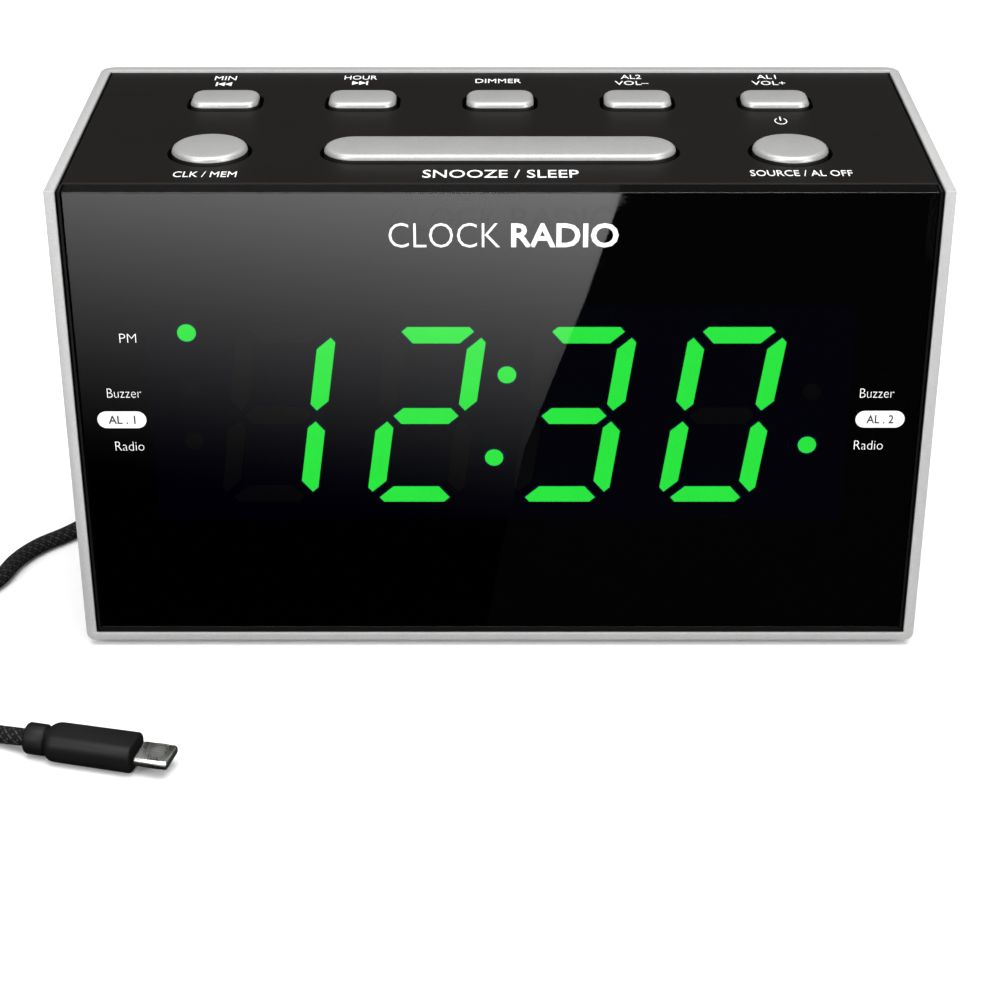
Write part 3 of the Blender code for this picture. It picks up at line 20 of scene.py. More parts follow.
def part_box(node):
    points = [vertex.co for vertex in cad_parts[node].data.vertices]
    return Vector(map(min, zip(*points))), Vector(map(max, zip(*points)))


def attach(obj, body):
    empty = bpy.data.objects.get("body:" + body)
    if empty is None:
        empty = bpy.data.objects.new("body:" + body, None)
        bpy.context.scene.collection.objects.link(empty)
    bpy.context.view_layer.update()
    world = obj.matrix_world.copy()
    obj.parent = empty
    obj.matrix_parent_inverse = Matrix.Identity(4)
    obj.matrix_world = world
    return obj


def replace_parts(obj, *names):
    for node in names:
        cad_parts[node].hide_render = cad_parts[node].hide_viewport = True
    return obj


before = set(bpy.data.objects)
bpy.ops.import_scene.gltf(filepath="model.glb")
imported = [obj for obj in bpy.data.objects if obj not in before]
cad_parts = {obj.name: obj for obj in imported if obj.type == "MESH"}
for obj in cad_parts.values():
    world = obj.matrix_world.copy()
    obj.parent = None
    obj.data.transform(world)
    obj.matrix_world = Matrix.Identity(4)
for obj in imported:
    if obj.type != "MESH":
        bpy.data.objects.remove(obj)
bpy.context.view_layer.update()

LOG = logging.getLogger("clock_radio")
ROOT = "clock_radio"
KEY_NAMES = ("minute", "hour", "dimmer", "volume_down", "volume_up", "clock_memory", "snooze", "source")
INK_THICKNESS = 0.00003
WELD_DISTANCE = 0.000005
SHARPEST_CORNER = 0.0002

Rgb = tuple[float, float, float]
Point = tuple[float, float, float]
Outline = list[tuple[float, float]]


# ---------------------------------------------------------------- shader tools


class Value:
    """A number that varies over a surface, so that shader maths reads as arithmetic."""

    def __init__(self, paint: "Paint", socket: bpy.types.NodeSocket) -> None:
        """Wraps a socket.

        Args:
            paint: The material that the socket belongs to.
            socket: The output that carries the number.
        """
        self.paint = paint
        self.socket = socket

    def maths(self, operation: str, *terms: "float | Value") -> "Value":
        """Adds one Math node.

        Args:
            operation: The node's operation.
            terms: Its inputs, in order.

        Returns:
            The node's result.
        """
        made = self.paint.add("ShaderNodeMath", {"operation": operation}, dict(enumerate(terms)))
        return Value(self.paint, made.outputs[0])

    def __add__(self, other: "float | Value") -> "Value":
        """Sum."""
        return self.maths("ADD", self, other)

    def __radd__(self, other: float) -> "Value":
        """Sum, with the number first."""
        return self.maths("ADD", other, self)

    def __sub__(self, other: "float | Value") -> "Value":
        """Difference."""
        return self.maths("SUBTRACT", self, other)

    def __rsub__(self, other: float) -> "Value":
        """Difference, with the number first."""
        return self.maths("SUBTRACT", other, self)

    def __mul__(self, other: "float | Value") -> "Value":
        """Product."""
        return self.maths("MULTIPLY", self, other)

    def __rmul__(self, other: float) -> "Value":
        """Product, with the number first."""
        return self.maths("MULTIPLY", other, self)

    def __truediv__(self, other: "float | Value") -> "Value":
        """Quotient."""
        return self.maths("DIVIDE", self, other)

    def __rtruediv__(self, other: float) -> "Value":
        """Quotient, with the number first."""
        return self.maths("DIVIDE", other, self)

    def __pow__(self, other: float) -> "Value":
        """Power."""
        return self.maths("POWER", self, other)

    def __mod__(self, other: float) -> "Value":
        """Remainder, never negative."""
        return self.maths("FLOORED_MODULO", self, other)

    def above(self, limit: "float | Value") -> "Value":
        """One where this is above the limit, and zero elsewhere."""
        return self.maths("GREATER_THAN", self, limit)

    def floor(self) -> "Value":
        """The whole number below."""
        return self.maths("FLOOR", self)

    def part(self) -> "Value":
        """The part past the whole number below."""
        return self.maths("FRACT", self)

    def size(self) -> "Value":
        """The value without its sign."""
        return self.maths("ABSOLUTE", self)

    def wave(self) -> "Value":
        """The sine."""
        return self.maths("SINE", self)

    def held(self) -> "Value":
        """The value held between zero and one."""
        return self.maths("MINIMUM", self.maths("MAXIMUM", self, 0.0), 1.0)

    def ramped(self, low: float, high: float) -> "Value":
        """A smooth step from zero at low to one at high.

        Args:
            low: Where the step starts.
            high: Where it ends.

        Returns:
            The stepped value.
        """
        smooth = {"interpolation_type": "SMOOTHSTEP"}
        node = self.paint.add("ShaderNodeMapRange", smooth, {0: self, 1: low, 2: high, 3: 0.0, 4: 1.0})
        return Value(self.paint, node.outputs[0])


Feed = float | Sequence[float] | Value | bpy.types.NodeSocket


class Nodes:
    """A node tree under construction."""

    def __init__(self, tree: bpy.types.NodeTree) -> None:
        """Takes a tree.

        Args:
            tree: The tree to add to.
        """
        self.tree = tree

    def add(self, kind: str, settings: dict[str, object], inputs: dict[int | str, Feed]) -> bpy.types.Node:
        """Adds a node.

        Args:
            kind: The node's type.
            settings: Its properties, set first. "stops" are a ramp's (position, colour) pairs.
            inputs: Values or links for its sockets, by name or number.

        Returns:
            The node.
        """
        node = self.tree.nodes.new(kind)
        for name, setting in settings.items():
            if name == "stops":
                self.set_stops(node.color_ramp.elements, setting)
            else:
                setattr(node, name, setting)
        for key, feed in inputs.items():
            self.feed(node.inputs[key], feed)
        return node

    @staticmethod
    def set_stops(elements: bpy.types.bpy_prop_collection, stops: Sequence[tuple[float, Rgb]]) -> None:
        """Sets a ramp's stops.

        Args:
            elements: The ramp's elements.
            stops: Pairs of position and colour, in order.
        """
        while len(elements) < len(stops):
            elements.new(1.0)
        for element, (position, colour) in zip(elements, stops):
            element.position = position
            element.color = (*colour, 1.0)

    def feed(self, socket: bpy.types.NodeSocket, feed: Feed) -> None:
        """Links or sets one socket.

        Args:
            socket: The input.
            feed: A number, a colour, a value or an output.
        """
        if isinstance(feed, Value):
            feed = feed.socket
        if isinstance(feed, bpy.types.NodeSocket):
            self.tree.links.new(feed, socket)
        elif isinstance(feed, (tuple, list)) and socket.type == "RGBA":
            socket.default_value = (*feed, 1.0)
        else:
            socket.default_value = feed


class Paint(Nodes):
    """A material under construction: a Principled shader and the nodes that feed it."""

    def __init__(self, name: str) -> None:
        """Starts a material.

        Args:
            name: The material's name.
        """
        self.material = bpy.data.materials.new(name)
        self.material.use_nodes = True
        super().__init__(self.material.node_tree)
        self.shader = self.tree.nodes["Principled BSDF"]
        self._place: bpy.types.NodeSocket | None = None

    def set(self, **inputs: Feed) -> "Paint":
        """Feeds the shader's own sockets, with underscores in their names for spaces.

        Args:
            inputs: Socket names and what feeds them.

        Returns:
            The same material, for chaining.
        """
        for name, feed in inputs.items():
            self.feed(self.shader.inputs[name.replace("_", " ")], feed)
        return self

    @property
    def place(self) -> bpy.types.NodeSocket:
        """The point on the surface, in the object's own metres."""
        if self._place is None:
            self._place = self.add("ShaderNodeTexCoord", {}, {}).outputs["Object"]
        return self._place

    def axes(self, vector: bpy.types.NodeSocket | None = None) -> tuple[Value, Value, Value]:
        """The three parts of a vector.

        Args:
            vector: The vector, or none for the point on the surface.

        Returns:
            Its X, Y and Z.
        """
        node = self.add("ShaderNodeSeparateXYZ", {}, {0: vector or self.place})
        return tuple(Value(self, output) for output in node.outputs)

    def stretched(self, stretch: Point) -> bpy.types.NodeSocket:
        """The point on the surface, scaled by a factor along each axis."""
        node = self.add("ShaderNodeVectorMath", {"operation": "MULTIPLY"}, {0: self.place, 1: stretch})
        return node.outputs[0]

    def noise(self, size: float, detail: float = 2.0, stretch: Point = (1.0, 1.0, 1.0)) -> Value:
        """Soft noise.

        Args:
            size: The size of its features, in metres.
            detail: Its octaves.
            stretch: Factors on the axes, where a small one draws the features out.

        Returns:
            A value about one half.
        """
        vector = self.stretched(stretch)
        node = self.add("ShaderNodeTexNoise", {}, {"Vector": vector, "Scale": 1.0 / size, "Detail": detail})
        return Value(self, node.outputs[0])

    def cells(self, size: float, random: bool = False) -> Value:
        """Cells of a size: the distance from their centres, or a random number for each.

        Args:
            size: The size of a cell, in metres.
            random: Whether to give a number for each cell.

        Returns:
            The value.
        """
        node = self.add("ShaderNodeTexVoronoi", {}, {"Vector": self.place, "Scale": 1.0 / size})
        return self.axes(node.outputs["Color"])[0] if random else Value(self, node.outputs["Distance"])

    def mix(self, mask: Value | float, first: Feed, second: Feed) -> bpy.types.NodeSocket:
        """Mixes two colours.

        Args:
            mask: The share of the second.
            first: The colour where the mask is zero.
            second: The colour where the mask is one.

        Returns:
            The mixed colour.
        """
        node = self.add("ShaderNodeMix", {"data_type": "RGBA"}, {0: mask, 6: first, 7: second})
        return node.outputs[2]

    def bump(self, height: Value, depth: float, strength: float = 1.0) -> "Paint":
        """Raises the surface by a height of zero to one times a depth.

        Args:
            height: The height.
            depth: The real depth, in metres.
            strength: How much of it shows.

        Returns:
            The same material, for chaining.
        """
        node = self.add("ShaderNodeBump", {}, {"Height": height, "Distance": depth, "Strength": strength})
        return self.set(Normal=node.outputs["Normal"])


def shade(colour: Rgb, factor: float) -> Rgb:
    """A colour made lighter or darker."""
    return tuple(min(1.0, part * factor) for part in colour)


# ---------------------------------------------------------------- finishes


@dataclass(frozen=True)
class SatinMoulding:
    """Moulded plastic or rubber, with the fine grain of its mould and faint smudges."""

    name: str
    colour: Rgb
    roughness: float = 0.45
    grain: float = 0.00028
    depth: float = 0.000012
    specular: float = 0.5
    smudge: float = 0.012
    glow: Rgb = (0.0, 0.0, 0.0)

    def make(self) -> bpy.types.Material:
        """Makes the material."""
        paint = Paint(self.name)
        grain = paint.noise(self.grain, 2.0)
        smudge = paint.noise(self.smudge, 4.0)
        tint = (grain * 0.4 + smudge * 0.6).held()
        paint.set(
            Base_Color=paint.mix(tint, shade(self.colour, 0.8), shade(self.colour, 1.25)),
            Roughness=(self.roughness - 0.07 + smudge * 0.14).held(),
            Specular_IOR_Level=self.specular,
        )
        # A glow is painted light, given to a part that is no lamp.
        if any(self.glow):
            glow = paint.mix(smudge, shade(self.glow, 0.8), self.glow)
            paint.set(Emission_Color=glow, Emission_Strength=1.0)
        return paint.bump(grain, self.depth).material


@dataclass(frozen=True)
class SilverPaint:
    """Silver lacquer on plastic: fine metal flakes under a satin film."""

    name: str
    colour: Rgb
    metallic: float = 0.35
    roughness: float = 0.42
    flake: float = 0.00016
    # The near black that a finish paints as shade in place of the lacquer.
    bare: Rgb = (0.008, 0.008, 0.008)

    def unshaded(self, paint: Paint) -> Value | float:
        """The share of the surface without painted shade, and all of it unless a finish says otherwise."""
        return 1.0

    def make(self) -> bpy.types.Material:
        """Makes the material."""
        paint = Paint(self.name)
        unshaded = self.unshaded(paint)
        flakes = paint.cells(self.flake, random=True)
        cloud = paint.noise(0.006, 3.0)
        orange_peel = paint.noise(0.0006, 1.0)
        glint = (flakes * 0.7 + cloud * 0.3).held()
        lacquer = paint.mix(glint, shade(self.colour, 0.9), shade(self.colour, 1.08))
        paint.set(
            # Painted shade: where a finish asks for it, the near black with no metal takes the lacquer's
            # place.
            Base_Color=paint.mix(unshaded, self.bare, lacquer),
            Metallic=unshaded * self.metallic,
            Roughness=(self.roughness - 0.06 + cloud * 0.06 + flakes * 0.06).held(),
        )
        return paint.bump(flakes * 0.35 + orange_peel * 0.65, 0.000006).material


@dataclass(frozen=True)
class ShadedKeyPaint(SilverPaint):
    """Silver lacquer on a key's cap, with the foot of its sides painted black: painted shade where the key
    stands in its hole.
    """

    painted_shade_top: float = 0.0

    def unshaded(self, paint: Paint) -> Value | float:
        """The share without painted shade: none below the top of the painted shade."""
        return paint.axes()[2].above(self.painted_shade_top)


@dataclass(frozen=True)
class ShellPaintWithShade(SilverPaint):
    """Silver lacquer on the outside of a case, with the inside faces painted black as painted shade in the
    gaps round the bezel and the panel.

    The inside is a box, given by its low and high corners.
    """

    inner_low: Point = (0.0, 0.0, 0.0)
    inner_high: Point = (0.0, 0.0, 0.0)

    def unshaded(self, paint: Paint) -> Value | float:
        """The share without painted shade: none inside the box."""
        inside = 1.0
        for place, low, high in zip(paint.axes(), self.inner_low, self.inner_high):
            inside = inside * place.above(low) * (1.0 - place.above(high))
        return 1.0 - inside


@dataclass(frozen=True)
class SmokedAcrylic:
    """Polished dark acrylic: nearly black, with a mirror gloss and a few faint wipe marks."""

    name: str
    alpha: float

    def make(self) -> bpy.types.Material:
        """Makes the material."""
        paint = Paint(self.name)
        wipes = paint.noise(0.004, 4.0, (0.25, 1.0, 1.0))
        dust = paint.cells(0.0011).ramped(0.06, 0.03)
        paint.set(
            Base_Color=paint.mix(dust * 0.05, (0.0, 0.0, 0.0), (0.2, 0.2, 0.2)),
            Roughness=wipes.ramped(0.55, 0.75) * 0.02 + 0.015,
            IOR=1.49,
            Alpha=self.alpha,
        )
        return paint.material


@dataclass(frozen=True)
class LitPlastic:
    """A display window's own light, a little uneven: a lamp's light when lit, a faint painted glow when
    unlit.
    """

    name: str
    colour: Rgb
    strength: float

    def make(self) -> bpy.types.Material:
        """Makes the material."""
        paint = Paint(self.name)
        spread = paint.noise(0.005, 1.0)
        paint.set(
            Base_Color=(0.02, 0.03, 0.02),
            Roughness=0.5,
            Emission_Color=paint.mix(spread, shade(self.colour, 0.93), self.colour),
            Emission_Strength=self.strength,
        )
        return paint.material


@dataclass(frozen=True)
class PrintInk:
    """Pad-printed ink: matt, with the slight starved speckle of a print."""

    name: str
    colour: Rgb

    def make(self) -> bpy.types.Material:
        """Makes the material."""
        paint = Paint(self.name)
        speckle = paint.noise(0.00012, 2.0)
        paint.set(
            Base_Color=paint.mix(speckle.ramped(0.3, 0.5), shade(self.colour, 0.85), self.colour),
            Roughness=0.6 + speckle * 0.1,
        )
        return paint.material


@dataclass(frozen=True)
class BraidedSleeve:
    """A braided sleeve: strands that cross over and under each other round the cord."""

    name: str
    colour: Rgb
    fleck: Rgb
    strands: int
    diameter: float

    def make(self) -> bpy.types.Material:
        """Makes the material.

        The cord's own map gives the distance along it in metres and the share of a turn round it.
        """
        paint = Paint(self.name)
        run, turn, _ = paint.axes(paint.add("ShaderNodeUVMap", {"uv_map": ChargingCord.MAP}, {}).outputs[0])
        along = run / (math.pi * self.diameter / self.strands)
        around = turn * float(self.strands)
        left, right = around + along, around - along
        over = ((left.floor() + right.floor()) * 0.5).part().above(0.25)
        across = left.part() * over + right.part() * (1.0 - over)
        crown = 1.0 - ((across - 0.5) * 2.0).size() ** 2.0
        number = left.floor() * over + (right.floor() + 1.0) * (1.0 - over)
        grey = 1.0 - (number % 4.0).above(0.5)
        fibre = paint.noise(0.00012, 2.0)
        yarn = paint.mix(grey * 0.75, self.colour, self.fleck)
        paint.set(
            # Each strand darkens towards its edges: painted shade in the grooves between strands.
            Base_Color=paint.mix((crown * 0.8 + fibre * 0.3).held(), shade(self.colour, 0.3), yarn),
            Roughness=0.62 + fibre * 0.2,
            Specular_IOR_Level=0.2,
        )
        return paint.bump((crown * 0.85 + fibre * 0.15).held(), 0.00009).material


@dataclass(frozen=True)
class PlatedMetal:
    """Bright plated metal, with fine drawn lines and slight tarnish."""

    name: str
    colour: Rgb
    roughness: float = 0.28

    def make(self) -> bpy.types.Material:
        """Makes the material."""
        paint = Paint(self.name)
        lines = paint.noise(0.0002, 2.0, (1.0, 0.06, 1.0))
        tarnish = paint.noise(0.003, 4.0).ramped(0.45, 0.75)
        paint.set(
            Base_Color=paint.mix(tarnish * 0.35, self.colour, shade(self.colour, 0.55)),
            Metallic=1.0,
            Roughness=(self.roughness - 0.06 + lines * 0.12 + tarnish * 0.15).held(),
        )
        return paint.bump(lines, 0.000004).material


@dataclass(frozen=True)
class CircuitBoard:
    """Green solder mask over copper tracks, with tinned pads where parts are soldered."""

    name: str
    colour: Rgb
    upright: bool

    def make(self) -> bpy.types.Material:
        """Makes the material."""
        paint = Paint(self.name)
        x, y, z = paint.axes()
        other = z if self.upright else y
        weave = paint.noise(0.0004, 1.0)
        region = paint.cells(0.009, random=True).above(0.5)
        lines_x = (((x / 0.0016).part() - 0.5).size() * 2.0).ramped(0.35, 0.5)
        lines_y = (((other / 0.0016).part() - 0.5).size() * 2.0).ramped(0.35, 0.5)
        tracks = lines_x * region + lines_y * (1.0 - region)
        pads = paint.cells(0.0032).ramped(0.2, 0.15)
        mask = paint.mix(tracks, shade(self.colour, 0.55), self.colour)
        paint.set(
            Base_Color=paint.mix(pads, mask, (0.62, 0.6, 0.56)),
            Metallic=pads * 0.9,
            Roughness=0.34 + weave * 0.1,
        )
        return paint.bump((tracks * 0.7 + pads * 0.3 + weave * 0.1).held(), 0.00003).material


@dataclass(frozen=True)
class FlatCable:
    """Grey flat cable: round wires side by side, with one marked edge."""

    name: str
    pitch: float
    marked_above: float

    def make(self) -> bpy.types.Material:
        """Makes the material."""
        paint = Paint(self.name)
        x, _, _ = paint.axes()
        wires = 1.0 - (((x / self.pitch).part() - 0.5) * 2.0).size() ** 2.0
        marked = x.above(self.marked_above)
        jacket = paint.mix(marked, (0.32, 0.32, 0.34), (0.35, 0.05, 0.04))
        paint.set(
            # Each wire darkens towards its sides: painted shade in the grooves between wires.
            Base_Color=paint.mix(wires, shade((0.32, 0.32, 0.34), 0.5), jacket),
            Roughness=0.42 + paint.noise(0.002, 2.0) * 0.1,
        )
        return paint.bump(wires, 0.00025).material


@dataclass(frozen=True)
class PaperCone:
    """Pressed black paper: felted fibres and faint rings from its forming."""

    name: str
    centre_x: float
    centre_z: float

    def make(self) -> bpy.types.Material:
        """Makes the material."""
        paint = Paint(self.name)
        x, _, z = paint.axes()
        radius = ((x - self.centre_x) ** 2.0 + (z - self.centre_z) ** 2.0) ** 0.5
        rings = (radius * (math.tau / 0.0018)).wave() * 0.5 + 0.5
        felt = paint.noise(0.0005, 4.0)
        paint.set(
            Base_Color=paint.mix(felt, (0.012, 0.012, 0.013), (0.05, 0.048, 0.046)),
            Roughness=0.8 + felt * 0.15,
        )
        return paint.bump((felt * 0.6 + rings * 0.4).held(), 0.00012).material


@dataclass(frozen=True)
class CellWrap:
    """A battery cell's shrink wrap: dark, with a coloured band at one end and bare metal at the very ends."""

    name: str
    low_x: float
    high_x: float
    band_at_high: bool

    def make(self) -> bpy.types.Material:
        """Makes the material."""
        paint = Paint(self.name)
        x, _, _ = paint.axes()
        run = (x - self.low_x) / (self.high_x - self.low_x)
        run = run if self.band_at_high else 1.0 - run
        band = run.above(0.7)
        bare = run.above(0.965) + (1.0 - run.above(0.008))
        wrap = paint.mix(band, (0.015, 0.016, 0.02), (0.42, 0.2, 0.06))
        scuff = paint.noise(0.0015, 3.0)
        paint.set(
            Base_Color=paint.mix(bare, wrap, (0.6, 0.6, 0.58)),
            Metallic=(bare * 0.9).held(),
            Roughness=0.28 + scuff * 0.12,
        )
        return paint.bump(scuff, 0.000008).material


class Finish(Enum):
    """The radio's finishes that need no place of their own."""

    PANEL = SatinMoulding("black_panel", (0.0048, 0.0041, 0.0036), 0.5, specular=0.12)
    BEZEL = SatinMoulding("black_bezel", (0.004, 0.004, 0.004), 0.4, specular=0.2)
    LENS = SmokedAcrylic("smoked_lens", 0.75)
    INNER = SatinMoulding("inner_black", (0.02, 0.02, 0.021), 0.6)
    # The mask's faint blue glow is painted light: the mask is no lamp.
    MASK = SatinMoulding("display_mask", (0.006, 0.006, 0.012), 0.7, specular=0.1, glow=(0.0, 0.0, 0.03))
    GUIDE = SatinMoulding("milky_guide", (0.5, 0.56, 0.52), 0.35)
    RUBBER = SatinMoulding("soft_rubber", (0.018, 0.018, 0.018), 0.75, depth=0.00003)
    OVERMOULD = SatinMoulding("black_overmould", (0.004, 0.004, 0.0042), 0.5, depth=0.00002, specular=0.22)
    STEEL = PlatedMetal("plated_steel", (0.66, 0.66, 0.64))
    MAGNET = PlatedMetal("zinc_plated_pot", (0.5, 0.5, 0.48), 0.42)
    GOLD = PlatedMetal("gold_flash", (0.8, 0.6, 0.28), 0.22)
    FLAT_BOARD = CircuitBoard("flat_board", (0.02, 0.14, 0.05), False)
    UPRIGHT_BOARD = CircuitBoard("upright_board", (0.02, 0.14, 0.05), True)
    WHITE_INK = PrintInk("white_ink", (0.8, 0.8, 0.8))
    DARK_INK = PrintInk("dark_ink", (0.02, 0.02, 0.02))
    LIT = LitPlastic("lit_green", (0.03, 1.0, 0.065), 13.0)
    # No lamp lights the unlit windows: their faint glow is painted light.
    UNLIT = LitPlastic("unlit_painted_glow", (0.75, 0.75, 1.0), 0.035)
    HALO = LitPlastic("lamp_halo", (0.02, 0.05, 1.0), 0.35)


_MADE: dict[str, bpy.types.Material] = {}


def material(finish: "Finish | object") -> bpy.types.Material:
    """The material of a finish, made once.

    Args:
        finish: A member of Finish, or a finish of its own.

    Returns:
        The material.
    """
    recipe = finish.value if isinstance(finish, Finish) else finish
    if recipe.name not in _MADE:
        _MADE[recipe.name] = recipe.make()
    return _MADE[recipe.name]


# ---------------------------------------------------------------- mesh tools


def dress(node: str, finish: "Finish | object", edge_angle: float = 32.0) -> None:
    """Gives a carried-over solid its finish, with smooth rounds and crisp edges.

    Args:
        node: The solid's name.
        finish: Its finish.
        edge_angle: Degrees above which an edge stays crisp.
    """
    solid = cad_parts[node]
    solid.data.materials.clear()
    solid.data.materials.append(material(finish))
    solid.data.shade_smooth()
    weld = solid.modifiers.new("welded", "WELD")
    weld.merge_threshold = WELD_DISTANCE
    crisp = solid.modifiers.new("crisp_edges", "EDGE_SPLIT")
    crisp.split_angle = math.radians(edge_angle)
    LOG.info("dressed %s in %s", node, solid.data.materials[0].name)


def piece(
    name: str,
    bm: bmesh.types.BMesh,
    finish: "Finish | object",
    body: str = ROOT,
    smooth: float = 35.0,
) -> bpy.types.Object:
    """Turns a bmesh into a piece that rides on a body.

    Args:
        name: The piece's name.
        bm: Its shape, in the row frame. It is freed.
        finish: Its finish.
        body: The body that it rides on.
        smooth: Degrees below which an edge is shaded smooth.

    Returns:
        The piece.
    """
    bmesh.ops.recalc_face_normals(bm, faces=bm.faces)
    mesh = bpy.data.meshes.new(name)
    bm.to_mesh(mesh)
    bm.free()
    mesh.materials.append(material(finish))
    mesh.shade_smooth()
    mesh.set_sharp_from_angle(angle=math.radians(smooth))
    made = bpy.data.objects.new(name, mesh)
    bpy.context.scene.collection.objects.link(made)
    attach(made, body)
    LOG.info("made %s: %d faces", name, len(mesh.polygons))
    return made


def add_plate(bm: bmesh.types.BMesh, outline: Outline, low: float, high: float, place: Matrix) -> None:
    """Adds a flat plate.

    Args:
        bm: The bmesh to add to.
        outline: Its points, anticlockwise.
        low: Its underside's height in the plane's own frame.
        high: Its top's height.
        place: The plane's frame: X along, Y up the plate and Z out of it.
    """
    rows = [[bm.verts.new(place @ Vector((x, y, level))) for x, y in outline] for level in (low, high)]
    bm.faces.new(rows[1])
    bm.faces.new(rows[0][::-1])
    count = len(outline)
    for i in range(count):
        j = (i + 1) % count
        bm.faces.new((rows[0][i], rows[0][j], rows[1][j], rows[1][i]))


def arc(centre: tuple[float, float], radius: float, start: float, end: float, steps: int) -> Outline:
    """Points along an arc, both ends included.

    Args:
        centre: The arc's centre.
        radius: Its radius.
        start: The angle of its first point, in degrees.
        end: The angle of its last.
        steps: How many chords it has.

    Returns:
        The points.
    """
    angles = [math.radians(start + (end - start) * i / steps) for i in range(steps + 1)]
    return [(centre[0] + radius * math.cos(a), centre[1] + radius * math.sin(a)) for a in angles]


def rounded_rectangle(half_x: float, half_y: float, radius: float, steps: int = 4) -> Outline:
    """The outline of a rectangle with round corners, about the origin.

    Args:
        half_x: Half its width.
        half_y: Half its height.
        radius: The corners' radius.
        steps: Chords in each corner.

    Returns:
        The points, anticlockwise.
    """
    radius = min(radius, half_x * 0.999, half_y * 0.999)
    x, y = half_x - radius, half_y - radius
    points: Outline = []
    for number, centre in enumerate(((x, y), (-x, y), (-x, -y), (x, -y))):
        points += arc(centre, radius, number * 90, number * 90 + 90, steps)
    return points


@dataclass(frozen=True)
class Section:
    """One section of a moulded piece: a rounded rectangle across its length."""

    along: float
    half_width: float
    half_height: float
    corner: float

    def ring(self, place: Matrix, steps: int) -> list[Vector]:
        """The section's points in space.

        Args:
            place: The piece's frame, with Z along its length.
            steps: Chords in each corner.

        Returns:
            The points.
        """
        outline = rounded_rectangle(self.half_width, self.half_height, self.corner, steps)
        return [place @ Vector((x, y, self.along)) for x, y in outline]


def add_loft(bm: bmesh.types.BMesh, sections: Sequence[Section], place: Matrix, steps: int = 4) -> None:
    """Adds a closed skin through sections, capped at both ends.

    Args:
        bm: The bmesh to add to.
        sections: The sections, in order.
        place: The piece's frame, with Z along its length.
        steps: Chords in each corner.
    """
    rings = [[bm.verts.new(point) for point in section.ring(place, steps)] for section in sections]
    join_rings(bm, rings)
    bm.faces.new(rings[0][::-1])
    bm.faces.new(rings[-1])


def join_rings(bm: bmesh.types.BMesh, rings: Sequence[Sequence[bmesh.types.BMVert]]) -> None:
    """Adds the quads between rings of the same count."""
    count = len(rings[0])
    for first, second in zip(rings, rings[1:]):
        for i in range(count):
            j = (i + 1) % count
            bm.faces.new((first[i], first[j], second[j], second[i]))


def add_sleeve(bm: bmesh.types.BMesh, sections: Sequence[Section], place: Matrix, steps: int = 4) -> None:
    """Adds a tube whose sections run out along it and back inside, and close on themselves."""
    rings = [[bm.verts.new(point) for point in section.ring(place, steps)] for section in sections]
    join_rings(bm, [*rings, rings[0]])


def softened_ends(
    start: float, end: float, width: float, height: float, corner: float, ease: float
) -> list[Section]:
    """Sections of a bar with rounded end edges.

    Args:
        start: Where the bar starts.
        end: Where it ends.
        width: Its width.
        height: Its height.
        corner: The radius of its long edges.
        ease: The radius of its end edges.

    Returns:
        The sections.
    """
    turns = [math.radians(turn) for turn in (0, 30, 60, 90)]
    ends = [(start + ease * (1.0 - math.cos(turn)), ease * (1.0 - math.sin(turn))) for turn in turns]
    ends += [(start + end - along, inset) for along, inset in reversed(ends)]
    return [
        Section(along, width / 2 - inset, height / 2 - inset, max(corner - inset, SHARPEST_CORNER))
        for along, inset in ends
    ]


def box_middle(node: str) -> Vector:
    """The middle of a solid's box."""
    low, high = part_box(node)
    return (low + high) / 2


# ---------------------------------------------------------------- studio


